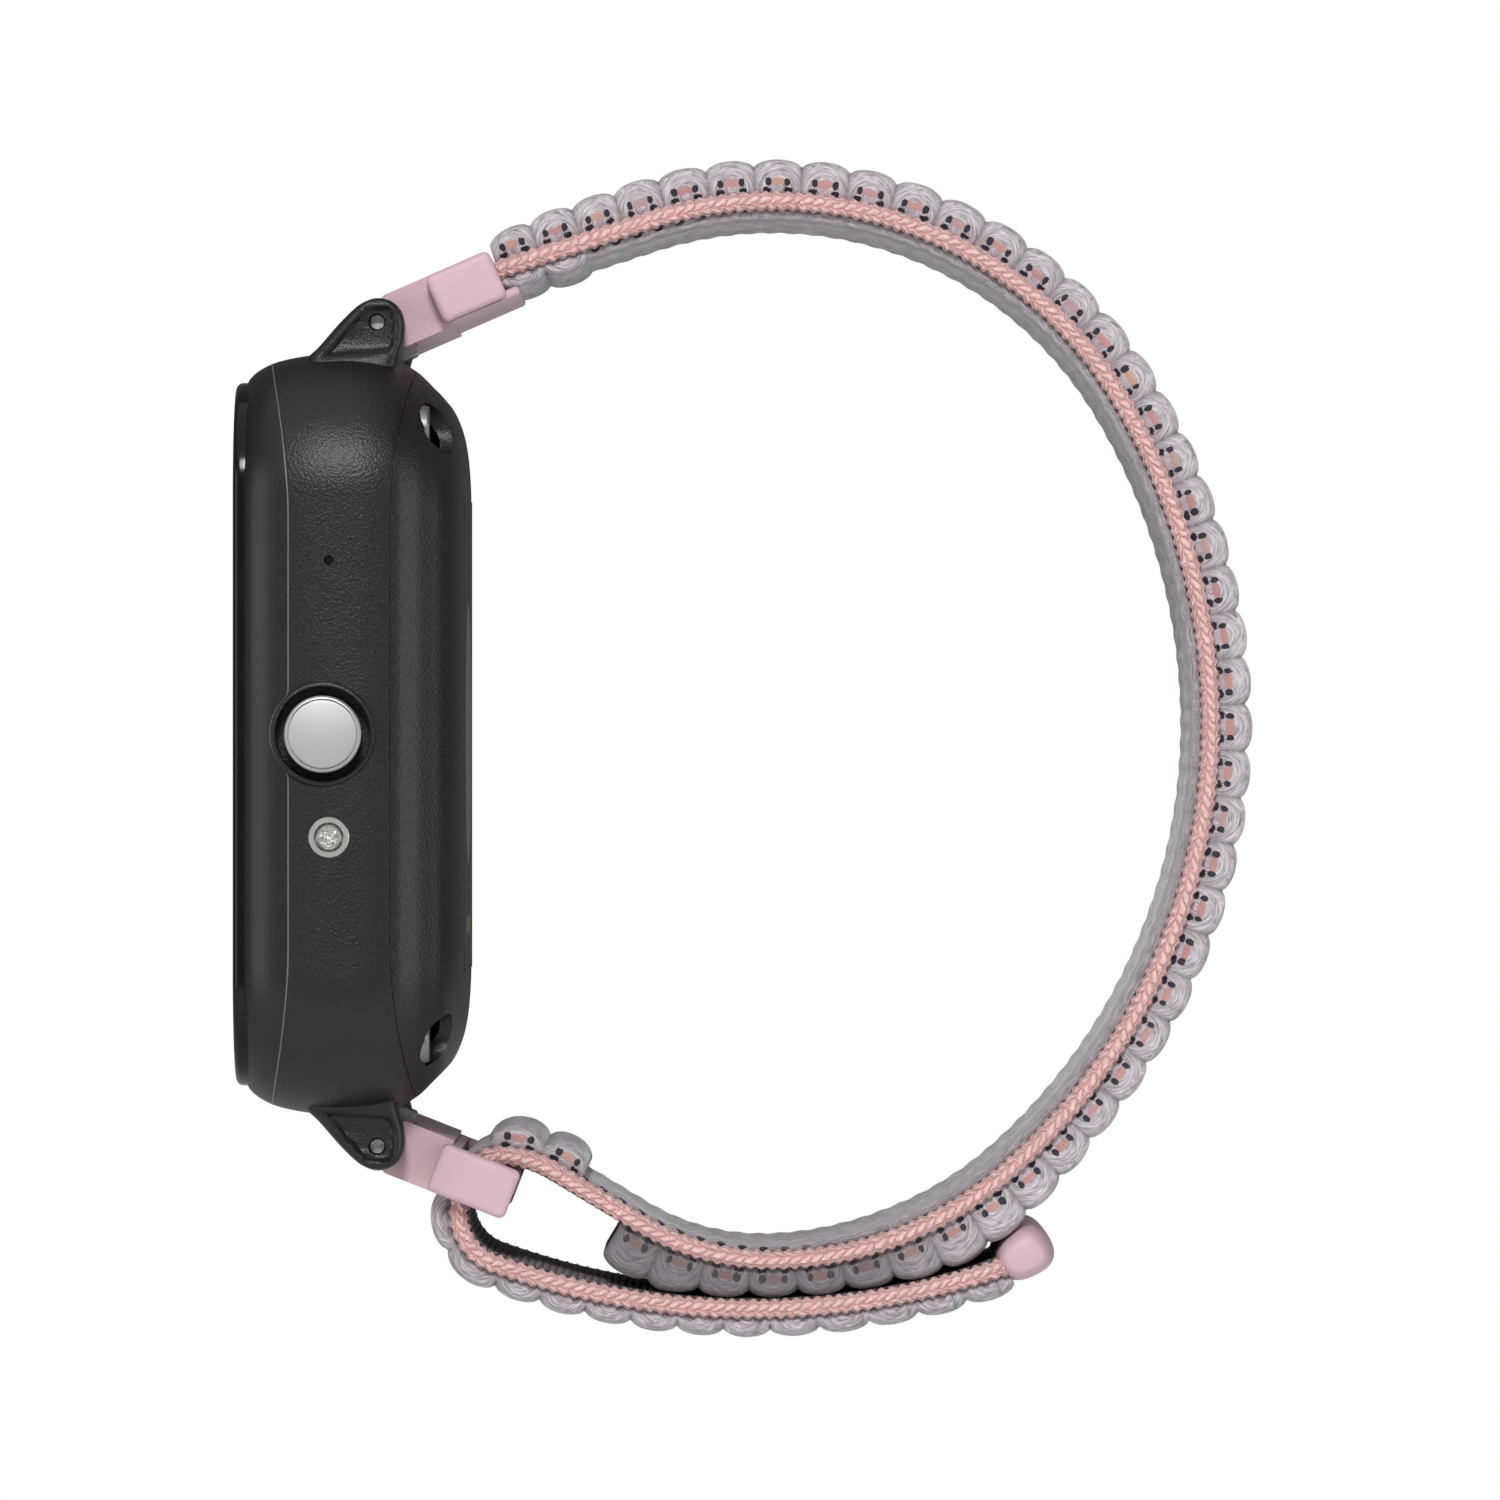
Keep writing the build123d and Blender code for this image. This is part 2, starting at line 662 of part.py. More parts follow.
def upper_connector(strap_end):
    """Closed connector that the strap end is moulded into."""
    block = box(-CONNECTOR_HALF, CONNECTOR_HALF, SHOULDER, BLOCK_END, -BLOCK_INNER, BLOCK_OUTER)
    block = fillet(block.edges(), BLOCK_ROUND)
    body = connector_tab() + block - bar_cuts()
    return place_connector(body, UPPER_TILT, 1) - strap_end


def lower_connector():
    """Slotted connector whose end bar the strap folds round."""
    inner = LUG_IN + SLOT_SIDE_FIT
    frame = box(-CONNECTOR_HALF, CONNECTOR_HALF, SHOULDER, FRAME_END, -BLOCK_INNER, BLOCK_OUTER)
    frame = fillet(frame.edges(), BLOCK_ROUND)
    frame -= box(-inner, inner, CROSSBAR_END, FRAME_END + 1, -BLOCK_INNER - 1, BLOCK_OUTER + 1)
    reach = inner + END_BAR_LAP
    bar = rod_x(END_BAR_R, -reach, reach, END_BAR_U, END_BAR_V)
    body = connector_tab() + frame + bar - bar_cuts()
    return place_connector(body, LOWER_TILT, -1)


def bar_tube(tilt, end):
    """Spring bar tube with the window its release knob passes through."""
    tube = rod_x(TUBE_R, -TAB_HALF, TAB_HALF, 0, 0)
    tube -= rod_x(TUBE_BORE, -LUG_IN - 1, LUG_IN + 1, 0, 0)
    tube -= box(*knob_window(), -KNOB_POST / 2 - KNOB_FIT, KNOB_POST / 2 + KNOB_FIT,
                -TUBE_R - 1, 0)
    return place_connector(tube, tilt, end)


def fixed_tip(tilt, end):
    """Far tip of the spring bar, pressed into its tube."""
    tip = rod_x(TIP_R, -TIP_OUT, -TIP_OUT + TIP_LENGTH, 0, 0)
    tip += rod_x(TUBE_BORE, -TAB_HALF, -TAB_HALF + TIP_COLLAR, 0, 0)
    return place_connector(tip, tilt, end)


def release_tip(tilt, end):
    """Sliding tip with the knob that draws it back."""
    x0 = knob_start()
    x1 = x0 + KNOB_LENGTH
    tip = rod_x(TIP_R, TIP_OUT - TIP_LENGTH, TIP_OUT, 0, 0)
    tip += box(x0, x1, -KNOB_POST / 2, KNOB_POST / 2, -TAB_INNER, 0)
    knob = box(x0, x1, -KNOB_POST / 2, KNOB_REACH, -TAB_INNER - KNOB_PROUD, -TUBE_R - KNOB_FIT)
    knob = fillet(knob.faces().sort_by(Axis.Z)[0].edges(), KNOB_ROUND)
    return place_connector(tip + knob, tilt, end)


def bar_spring(tilt, end):
    """Square-wire coil spring between the two tips, inside the tube."""
    free = TIP_OUT - TIP_LENGTH - SPRING_END_FIT
    half = SPRING_WIRE / 2
    coil_r = TUBE_BORE - half - SPRING_FIT
    path = Helix(SPRING_PITCH, 2 * (free - half), coil_r)
    section = Plane(path @ 0, z_dir=path % 0) * Rectangle(SPRING_WIRE, SPRING_WIRE)
    coil = Pos(half - free, 0, 0) * Rot(0, 90, 0) * sweep(section, path=path)
    return place_connector(coil, tilt, end)


# ---- strap --------------------------------------------------------------

def unit(heading):
    """Direction in the YZ plane, heading measured from +Y towards +Z."""
    return math.cos(math.radians(heading)), math.sin(math.radians(heading))


def element_length(element):
    """Length of one path element: (turn, size) with turn 0 for a straight."""
    turn, size = element
    return size if turn == 0 else abs(math.radians(turn)) * size


def advance(state, element, share=1.0):
    """Move a (y, z, heading) state along a share of one path element."""
    y, z, heading = state
    turn, size = element
    if turn == 0:
        dy, dz = unit(heading)
        return y + dy * size * share, z + dz * size * share, heading
    side = math.copysign(1.0, turn)
    new_heading = heading + turn * share
    ay, az = unit(heading + 90)
    by, bz = unit(new_heading + 90)
    return y + side * size * (ay - by), z + side * size * (az - bz), new_heading


def path_length(elements):
    """Total length of a path."""
    return sum(element_length(e) for e in elements)


def pieces_between(start, elements, s0, s1):
    """Cut a path at two lengths; returns [(state, element), ...] that covers the stretch."""
    state = start
    travelled = 0.0
    pieces = []
    for element in elements:
        length = element_length(element)
        low = max(s0 - travelled, 0.0)
        high = min(s1 - travelled, length)
        if high - low > 1e-6:
            turn, size = element
            share = (high - low) / length
            cut = (turn * share, size) if turn else (0, size * share)
            pieces.append((advance(state, element, low / length), cut))
        state = advance(state, element)
        travelled += length
    return pieces


def offset_point(state, offset):
    """Point beside the path; a positive offset is to the left."""
    y, z, heading = state
    ny, nz = unit(heading + 90)
    return 0, y + ny * offset, z + nz * offset


def strip(start, elements, s0, s1, left, right):
    """Strap piece between two lengths along a path, given its two face offsets."""
    pieces = pieces_between(start, elements, s0, s1)
    edges = []
    for state, element in pieces:
        last = advance(state, element)
        middle = advance(state, element, 0.5)
        for offset in (left, -right):
            ends = offset_point(state, offset), offset_point(last, offset)
            if element[0] == 0:
                edges.append(Line(*ends))
            else:
                edges.append(ThreePointArc(ends[0], offset_point(middle, offset), ends[1]))
    first = pieces[0][0]
    last = advance(*pieces[-1])
    for state in (first, last):
        edges.append(Line(offset_point(state, left), offset_point(state, -right)))
    return extrude(make_face(edges), STRAP_WIDTH / 2, dir=(1, 0, 0), both=True)


def connector_point(u, v, tilt, end):
    """Point of a connector's own frame in the YZ plane."""
    cy, sy = unit(tilt)
    return PIN_Y + u * cy - v * sy, end * (PIN_Z + u * sy + v * cy)


def fold_start():
    """Where the strap begins to wrap the end bar, heading back towards the case."""
    y, z = connector_point(END_BAR_U, END_BAR_V, LOWER_TILT, -1)
    return y, z + WRAP_R, -180.0


def kick_element():
    """Reverse bend that lifts the strap over the end bar."""
    return -180.0 - CHIN_EXIT, KICK_R


def wrist_path():
    """Start and elements of the strap from the upper connector to the lower one.

    The mean loop radius and the straight before the lower connector are the two sizes
    that close the loop between the connectors.
    """
    y0, z0 = connector_point(BLOCK_END, ROOT_V, UPPER_TILT, 1)
    turns = ((CROWN_EXIT - LEAVE_HEADING, CROWN_SHARE), (-90 - CROWN_EXIT, UPPER_BACK_SHARE),
             (HEEL_ENTRY + 90, LOWER_BACK_SHARE), (-180 - HEEL_ENTRY, HEEL_SHARE),
             (CHIN_EXIT + 180, CHIN_SHARE))
    start = (y0, z0, LEAVE_HEADING)
    state = (0.0, 0.0, LEAVE_HEADING)
    for turn, share in turns:
        state = advance(state, (turn, share))
    kick_y, kick_z, _ = advance((0.0, 0.0, CHIN_EXIT), kick_element())
    end_y, end_z, _ = fold_start()
    run_y, run_z = unit(LEAVE_HEADING)
    gap_y = end_y - kick_y - y0 - UPPER_RUN * run_y
    gap_z = end_z - kick_z - z0 - UPPER_RUN * run_z
    out_y, out_z = unit(CHIN_EXIT)
    scale = state[0] * out_z - state[1] * out_y
    radius = (gap_y * out_z - gap_z * out_y) / scale
    lower_run = (state[0] * gap_z - state[1] * gap_y) / scale
    arcs = [(turn, share * radius) for turn, share in turns]
    return start, [(0, UPPER_RUN), *arcs, (0, lower_run)]


def fold_path():
    """Start and elements of the strap through the slot and out along the tail."""
    slot_turn = 180.0 - 90.0 - LOWER_TILT
    return_turn = TAIL_ENTRY + 180.0 - slot_turn
    elements = [(slot_turn, WRAP_R), (0, SLOT_RUN), (return_turn, RETURN_R),
                (TAIL_EXIT - TAIL_ENTRY, TAIL_R)]
    return fold_start(), elements


def flex_lengths():
    """Lengths along the wrist path at which the strap bends."""
    total = path_length(wrist_path()[1])
    return [total * share for share in FLEX_SHARES]


def tail_start():
    """Length along the fold path at which the tail leaves the fold."""
    return path_length(fold_path()[1][:3])


def tail_lengths():
    """Lengths along the fold path at which the tail bends."""
    tail = element_length(fold_path()[1][3])
    return [tail_start() + tail * share for share in TAIL_SHARES]


def band_root():
    """Thin strap end moulded into the upper connector."""
    start, _ = wrist_path()
    back = advance(start, (0, -ROOT_DEPTH))
    return strip(back, [(0, ROOT_DEPTH)], 0, ROOT_DEPTH, CORE_HALF, CORE_HALF)


def band(index):
    """One length of the pile strap between two bends."""
    start, elements = wrist_path()
    stops = [0.0, *flex_lengths(), path_length(elements) - HOOK_RUN]
    s0 = stops[index] + (FLEX_GAP / 2 if index else 0.0)
    s1 = stops[index + 1] - (FLEX_GAP / 2 if index < len(FLEX_SHARES) else 0.0)
    return strip(start, elements, s0, s1, PILE_OUTER, PILE_INNER)


def hook_fold():
    """Flat hook length that runs over the end bar, through the slot and into the tail."""
    start, elements = wrist_path()
    total = path_length(elements)
    run = pieces_between(start, elements, total - HOOK_RUN, total)
    first = run[0][0]
    elements = [cut for _, cut in run] + [kick_element()] + fold_path()[1]
    stop = path_length(elements) - element_length(fold_path()[1][3]) - FLEX_GAP / 2
    return strip(first, elements, 0, stop, CORE_HALF, CORE_HALF)


def tail(index):
    """One length of the tail, hook face towards the strap and pile outside."""
    start, elements = fold_path()
    stops = [*tail_lengths(), path_length(elements)]
    s0 = stops[index] + (FLEX_GAP / 2 if index else PEEL_GAP)
    s1 = stops[index + 1] - (FLEX_GAP / 2 if index < len(TAIL_SHARES) - 1 else 0.0)
    return strip(start, elements, s0, s1, CORE_HALF, TAIL_OUTER)


def end_cap():
    """Rounded pull bar over the tail end."""
    start, elements = fold_path()
    y, z, heading = start
    for element in elements:
        y, z, heading = advance((y, z, heading), element)
    half = STRAP_WIDTH / 2 + CAP_OVERHANG
    body = Rot(0, 90, 0) * Box(2 * CAP_R, CAP_LENGTH, 2 * half)
    body = fillet(body.edges(), CAP_ROUND)
    return Pos(0, y, z) * Rot(heading, 0, 0) * Pos(0, CAP_LENGTH / 2, -CAP_DROP) * body


def nodes():
    """Every node of the assembly by name."""
    strap_end = band_root() + band(0)
    parts = {
        "mid_case": mid_case(),
        "front_bezel": front_bezel(),
        "front_glass": front_glass(),
        "display_panel": display_panel(),
        "display_flex": display_flex(),
        "back_cover": back_cover(),
        "back_gasket": gasket_ring(),
        "back_screws": back_screws(),
        "sensor_window": sensor_window(),
        "sensor_board": sensor_board(),
        "sensor_leds": sensor_leds(),
        "charge_contacts": charge_contacts(),
        "battery": battery(),
        "main_board": main_board(),
        "shield_can": shield_can(),
        "vibration_motor": vibration_motor(),
        "microphone": microphone(),
        "button_cap": button_cap(),
        "button_stem": button_stem(),
        "button_seal": button_seal(),
        "button_switch": button_switch(),
        "side_lamp_ring": side_lamp_ring(),
        "side_lamp_lens": side_lamp_lens(),
        "side_lamp_led": side_lamp_led(),
        "upper_connector": upper_connector(strap_end),
        "lower_connector": lower_connector(),
        "band_1": strap_end,
        "hook_fold": hook_fold(),
        "end_cap": end_cap(),
    }
    for name, tilt, end in (("upper", UPPER_TILT, 1), ("lower", LOWER_TILT, -1)):
        parts[name + "_bar_tube"] = bar_tube(tilt, end)
        parts[name + "_fixed_tip"] = fixed_tip(tilt, end)
        parts[name + "_release_tip"] = release_tip(tilt, end)
        parts[name + "_bar_spring"] = bar_spring(tilt, end)
    for index in range(1, len(FLEX_SHARES) + 1):
        parts["band_" + str(index + 1)] = band(index)
    for index in range(len(TAIL_SHARES)):
        parts["tail_" + str(index + 1)] = tail(index)
    return parts


for node, shape in nodes().items():
    export_step(shape, os.path.join("parts", node + ".step"))
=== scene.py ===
"""Loop strap watch: case, connectors and woven strap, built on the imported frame."""
import json
import math
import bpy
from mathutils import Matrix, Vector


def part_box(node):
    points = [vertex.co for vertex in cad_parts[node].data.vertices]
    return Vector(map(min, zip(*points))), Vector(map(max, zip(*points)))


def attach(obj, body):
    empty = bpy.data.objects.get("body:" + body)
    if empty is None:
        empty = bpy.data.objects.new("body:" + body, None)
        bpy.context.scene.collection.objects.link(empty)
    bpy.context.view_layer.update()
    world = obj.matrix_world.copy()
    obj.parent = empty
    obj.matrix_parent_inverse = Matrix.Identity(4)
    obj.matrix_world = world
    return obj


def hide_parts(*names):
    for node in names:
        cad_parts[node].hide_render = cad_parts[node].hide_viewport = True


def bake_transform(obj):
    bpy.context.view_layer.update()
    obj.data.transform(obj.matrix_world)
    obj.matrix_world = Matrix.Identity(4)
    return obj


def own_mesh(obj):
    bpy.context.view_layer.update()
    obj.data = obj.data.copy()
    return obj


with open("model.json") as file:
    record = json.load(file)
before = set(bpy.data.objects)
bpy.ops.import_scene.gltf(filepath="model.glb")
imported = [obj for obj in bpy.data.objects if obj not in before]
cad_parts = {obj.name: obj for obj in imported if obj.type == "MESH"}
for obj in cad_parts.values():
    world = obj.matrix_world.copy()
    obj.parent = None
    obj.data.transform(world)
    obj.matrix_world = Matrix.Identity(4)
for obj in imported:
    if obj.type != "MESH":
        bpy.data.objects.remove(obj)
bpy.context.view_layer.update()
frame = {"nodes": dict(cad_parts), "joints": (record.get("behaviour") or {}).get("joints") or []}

import bpy
from bpy.props import FloatProperty, FloatVectorProperty, IntProperty, PointerProperty
from bpy.types import Operator, Panel, PropertyGroup
from mathutils import Vector

bl_info = {
    "name": "Loop Strap Watch",
    "version": (1, 0, 0),
    "blender": (4, 5, 0),
    "location": "View3D > Sidebar > Watch",
    "description": "Builds an activity watch on a woven loop strap with fold-back fastening",
    "category": "Add Mesh",
}

MM = 0.001
JOINTS = {joint["name"]: joint for joint in frame["joints"]}
PIN = JOINTS["strap_swing"]["pos_m"]


# ---- route of the strap, in millimetres in the YZ plane ---------------------

BLOCK_END = 7.4
ROOT_V = 0.1
UPPER_TILT = 23.5
LOWER_TILT = 21.5
END_BAR = (7.25, -0.33)
WRAP_R = 1.75
LEAVE_HEADING = 18.0
UPPER_RUN = 9.1
# (turn in degrees, share of the radius that closes the loop)
ARCS = ((-76.5, 0.68), (-31.5, 1.06), (-49.0, 1.00), (-41.0, 0.60), (-31.0, 0.43))
# (turn in degrees, radius), or (0, length) on a straight
KICK = (31.0, 6.0)
FOLD = ((90.0 - LOWER_TILT, WRAP_R), (0.0, 1.2), (70.0 + LOWER_TILT, 3.0), (39.0, 43.5))


def unit(heading):
    """Direction of a heading measured from +Y towards +Z."""
    return math.cos(math.radians(heading)), math.sin(math.radians(heading))


def advance(state, element, share=1.0):
    """Move a (y, z, heading) state along a share of a straight or an arc."""
    y, z, heading = state
    turn, size = element
    if turn == 0:
        dy, dz = unit(heading)
        return y + dy * size * share, z + dz * size * share, heading
    side = math.copysign(1.0, turn)
    after = heading + turn * share
    ay, az = unit(heading + 90)
    by, bz = unit(after + 90)
    return y + side * size * (ay - by), z + side * size * (az - bz), after


def length_of(element):
    """Length of a straight or an arc."""
    turn, size = element
    return size if turn == 0 else abs(math.radians(turn)) * size


def connector_point(u, v, tilt, end):
    """Point of a connector in the YZ plane."""
    cy, sy = unit(tilt)
    y, z = PIN[1] / MM, PIN[2] / MM
    return y + u * cy - v * sy, end * (z + u * sy + v * cy)


def strap_route():
    """Stretches of the whole strap as (state, element, first length)."""
    y0, z0 = connector_point(BLOCK_END, ROOT_V, UPPER_TILT, 1)
    bar_y, bar_z = connector_point(*END_BAR, LOWER_TILT, -1)
    arc = (0.0, 0.0, LEAVE_HEADING)
    for element in ARCS:
        arc = advance(arc, element)
    kick_y, kick_z, _ = advance((0.0, 0.0, arc[2]), KICK)
    run_y, run_z = unit(LEAVE_HEADING)
    gap_y = bar_y - kick_y - y0 - UPPER_RUN * run_y
    gap_z = bar_z + WRAP_R - kick_z - z0 - UPPER_RUN * run_z
    out_y, out_z = unit(arc[2])
    scale = arc[0] * out_z - arc[1] * out_y
    radius = (gap_y * out_z - gap_z * out_y) / scale
    lower_run = (arc[0] * gap_z - arc[1] * gap_y) / scale
    elements = [(0.0, UPPER_RUN)] + [(turn, share * radius) for turn, share in ARCS]
    elements += [(0.0, lower_run), KICK, *FOLD]
    route, state, travelled = [], (y0, z0, LEAVE_HEADING), 0.0
    for element in elements:
        route.append((state, element, travelled))
        state = advance(state, element)
        travelled += length_of(element)
    return route, travelled


ROUTE, STRAP_LENGTH = strap_route()
KICK_END = ROUTE[8][2]
SLOT_START = ROUTE[9][2]
TAIL_START = ROUTE[11][2]
TAIL_LENGTH = STRAP_LENGTH - TAIL_START


def strap_state(s):
    """The (y, z, heading) of the strap's middle at a length along it."""
    for state, element, first in reversed(ROUTE):
        if s >= first:
            return advance(state, element, (s - first) / length_of(element))
    return advance(ROUTE[0][0], ROUTE[0][1], s / length_of(ROUTE[0][1]))


def on_strap(x, s, r):
    """Point at x across, s along and r to the outside of the strap, in metres."""
    y, z, heading = strap_state(s)
    ny, nz = unit(heading + 90)
    return Vector((x, y + ny * r, z + nz * r)) * MM


# ---- mesh helpers -----------------------------------------------------------

def select_only(*objects):
    """Make these objects the whole selection."""
    bpy.ops.object.select_all(action="DESELECT")
    for piece in objects:
        piece.select_set(True)
    bpy.context.view_layer.objects.active = objects[0]


def start_piece(name):
    """Name the primitive just added and put its place in its mesh."""
    piece = bpy.context.object
    piece.name = name
    piece.data.name = name
    bpy.ops.object.transform_apply(location=True, rotation=True, scale=True)
    return piece


def apply_modifier(piece, kind, **settings):
    """Add a modifier with its settings and apply it."""
    select_only(piece)
    modifier = piece.modifiers.new(kind.title(), kind)
    for key, value in settings.items():
        setattr(modifier, key, value)
    bpy.ops.object.modifier_apply(modifier=modifier.name)


def face_out(piece):
    """Turn a closed mesh's faces outwards."""
    select_only(piece)
    bpy.ops.object.mode_set(mode="EDIT")
    bpy.ops.mesh.select_all(action="SELECT")
    bpy.ops.mesh.normals_make_consistent(inside=False)
    bpy.ops.object.mode_set(mode="OBJECT")


def close_mesh(piece, gap, fill=True):
    """Merge points within a gap, fill open ends and turn the faces outwards."""
    select_only(piece)
    bpy.ops.object.mode_set(mode="EDIT")
    bpy.ops.mesh.select_all(action="SELECT")
    bpy.ops.mesh.remove_doubles(threshold=gap)
    if fill:
        bpy.ops.mesh.fill_holes(sides=0)
    bpy.ops.object.mode_set(mode="OBJECT")
    face_out(piece)


def join_as(name, *pieces):
    """Join pieces into the first one under a new name."""
    select_only(*pieces)
    bpy.ops.object.join()
    joined = bpy.context.object
    joined.name = joined.data.name = name
    return joined


def signed_power(value, power):
    """Power of a value's size that keeps its sign."""
    return math.copysign(abs(value) ** power, value)


def rounded(k, width_power, height_power):
    """Point of a rounded outline at a share k of the way round; small powers are squarer."""
    angle = 2 * math.pi * k
    return signed_power(math.cos(angle), width_power), signed_power(math.sin(angle), height_power)


def finish_piece(piece, body, material, angle):
    """Give a finished piece its finish, its shading up to an angle and its body."""
    piece.data.materials.clear()
    piece.data.materials.append(material)
    select_only(piece)
    bpy.ops.object.shade_smooth_by_angle(angle=math.radians(angle))
    if body:
        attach(piece, body)
    return piece


def strap_tube(name, s0, s1, steps, around, section, marks):
    """Closed length of strap made from a grid rolled round its section.

    section(s, k) gives (x, r) for k from 0 to 1 round the outline; marks(s, k) gives the
    pattern coordinates kept as the piece's UV map.
    """
    bpy.ops.object.select_all(action="DESELECT")
    bpy.ops.mesh.primitive_grid_add(x_subdivisions=steps, y_subdivisions=around, size=2.0)
    piece = start_piece(name)
    mesh = piece.data
    place = {}
    for vertex in mesh.vertices:
        s = s0 + (s1 - s0) * (vertex.co.x + 1) / 2
        k = (vertex.co.y + 1) / 2
        place[vertex.index] = (s, k)
    uv = mesh.uv_layers.active.data
    for loop in mesh.loops:
        s, k = place[loop.vertex_index]
        uv[loop.index].uv = marks(s, k)
    for vertex in mesh.vertices:
        s, k = place[vertex.index]
        x, r = section(s, k)
        vertex.co = on_strap(x, s, r)
    close_mesh(piece, 1e-6)
    return piece


# ---- finishes ---------------------------------------------------------------

# pattern sizes are in millimetres along and across the strap
KNIT_COLUMN = 0.42
KNIT_STITCH = 0.62
# near-black paint for the shade inside eyelets and window holes
EYELET_HOLE_SHADE = (0.010, 0.009, 0.022)
EYELET_PITCH = 1.275
WINDOW_YARNS = ((0.0, (0.36, 0.14, 0.14)), (0.5, (0.46, 0.20, 0.18)),
                (0.8, (0.36, 0.24, 0.25)), (1.0, (0.52, 0.28, 0.12)))
WINDOW_LIGHT = (0.60, 0.42, 0.40)
# span along the main strap, in mm, where the tail's shadow is painted into the pile's colour
SHADOW_UNDER_TAIL = (91.0, 98.0)
LAMP_LENS_R = 0.55
STEEL = (0.5, 0.5, 0.51)
FINISHES = {}


class Finish:
    """A Principled material and the steps that add nodes to it."""

    def __init__(self, name, color, roughness, **sockets):
        self.material = bpy.data.materials.new(name)
        self.material.use_nodes = True
        self.tree = self.material.node_tree
        self.shader = self.tree.nodes["Principled BSDF"]
        self.shader.inputs["Base Color"].default_value = (*color, 1)
        self.shader.inputs["Roughness"].default_value = roughness
        for key, value in sockets.items():
            self.shader.inputs[key.replace("_", " ")].default_value = value

    def feed(self, socket, value):
        """Join an output to a socket, or set the socket's own value."""
        if isinstance(value, bpy.types.NodeSocket):
            self.tree.links.new(value, socket)
        else:
            socket.default_value = value

    def node(self, kind, inputs=None, **settings):
        """Add a node with settings and inputs; an input may be another node's output."""
        made = self.tree.nodes.new("ShaderNode" + kind)
        for key, value in settings.items():
            setattr(made, key, value)
        for key, value in (inputs or {}).items():
            self.feed(made.inputs[key], value)
        return made

    def math(self, operation, a, b=0.0, c=0.0):
        """Output of a Math node."""
        return self.node("Math", {0: a, 1: b, 2: c}, operation=operation).outputs[0]

    def plus(self, a, b):
        """Sum of two values."""
        return self.math("ADD", a, b)

    def minus(self, a, b):
        """Difference of two values."""
        return self.math("SUBTRACT", a, b)

    def times(self, a, b):
        """Product of two values."""
        return self.math("MULTIPLY", a, b)

    def over(self, a, b):
        """Quotient of two values."""
        return self.math("DIVIDE", a, b)

    def fade(self, value, start, end, most=1.0):
        """Rise from 0 to most as a value goes from start to end."""
        return self.node("MapRange", {"Value": value, "From Min": start, "From Max": end,
                                      "To Max": most}).outputs[0]

    def ramp(self, factor, stops):
        """Colour ramp through (place, colour) stops."""
        made = self.node("ValToRGB", {"Fac": factor})
        elements = made.color_ramp.elements
        for index, (place, color) in enumerate(stops):
            element = elements[index] if index < 2 else elements.new(place)
            element.position = place
            element.color = (*color, 1)
        return made.outputs["Color"]

    def mix(self, factor, a, b):
        """Mix of two colours, each a node's output or a plain colour."""
        made = self.node("Mix", {0: factor}, data_type="RGBA", blend_type="MIX")
        for key, value in ((6, a), (7, b)):
            socket = isinstance(value, bpy.types.NodeSocket)
            self.feed(made.inputs[key], value if socket else (*value, 1))
        return made.outputs[2]

    def split(self, vector):
        """The three parts of a vector."""
        return tuple(self.node("SeparateXYZ", {0: vector}).outputs)

    def place(self):
        """Object coordinates."""
        return self.node("TexCoord").outputs["Object"]

    def pattern(self, uv_map=""):
        """Coordinates of one of the strap's pattern maps."""
        return self.node("UVMap", uv_map=uv_map).outputs[0]

    def noise(self, scale, detail):
        """Noise on Object coordinates."""
        return self.node("TexNoise", {"Vector": self.place(), "Scale": scale,
                                      "Detail": detail}).outputs[0]

    def strands(self, uv, along, across, detail):
        """Noise drawn out into strands along the strap."""
        s, c, _ = self.split(uv)
        drawn = self.node("CombineXYZ", {0: self.times(s, along), 1: self.times(c, across)})
        return self.node("TexNoise", {"Vector": drawn.outputs[0], "Scale": 1.0,
                                      "Detail": detail, "Roughness": 0.6}).outputs[0]

    def from_middle(self, cell, pitch):
        """Distance along the strap from the middle of a repeat."""
        return self.times(self.minus(self.math("FRACT", cell), 0.5), pitch)

    def oval(self, ds, r, centre, half_s, half_r):
        """Soft-edged oval at a height on the side wall: 1 inside, 0 outside."""
        a = self.math("POWER", self.math("ABSOLUTE", self.over(ds, half_s)), 2.3)
        rise = self.over(self.minus(r, centre), half_r)
        b = self.math("POWER", self.math("ABSOLUTE", rise), 2.3)
        return self.fade(self.plus(a, b), 1.3, 0.8)

    def paint(self, color):
        """Join a colour to the shader."""
        self.feed(self.shader.inputs["Base Color"], color)

    def bump(self, height, strength, distance, normal=None):
        """Bump from a height, chained on an earlier normal if there is one."""
        inputs = {"Height": height, "Strength": strength, "Distance": distance}
        if normal:
            inputs["Normal"] = normal
        made = self.node("Bump", inputs).outputs[0]
        self.feed(self.shader.inputs["Normal"], made)
        return made


def shade(color, share):
    """A colour made darker or lighter."""
    return tuple(min(1.0, part * share) for part in color)


def moulded(name, color, roughness, grain, depth, speck=0.0, gloss=0.3, metal=0.0):
    """Moulded plastic or cast metal with a spark-eroded grain."""
    look = Finish(name, color, roughness, Specular_IOR_Level=gloss, Metallic=metal)
    cells = look.node("TexVoronoi", {"Vector": look.place(), "Scale": grain}, feature="SMOOTH_F1")
    fine = look.noise(grain * 2.2, 2.0)
    look.bump(look.plus(cells.outputs["Distance"], look.times(fine, 0.6)), 1.0, depth)
    lighter = tuple(min(1.0, part * 1.35 + 0.004) for part in color)
    look.paint(look.mix(look.times(look.noise(260.0, 4.0), 0.8), color, lighter))
    if speck:
        look.feed(look.shader.inputs["Roughness"],
                  look.math("MULTIPLY_ADD", fine, -speck, roughness + speck * 0.6))
    return look.material


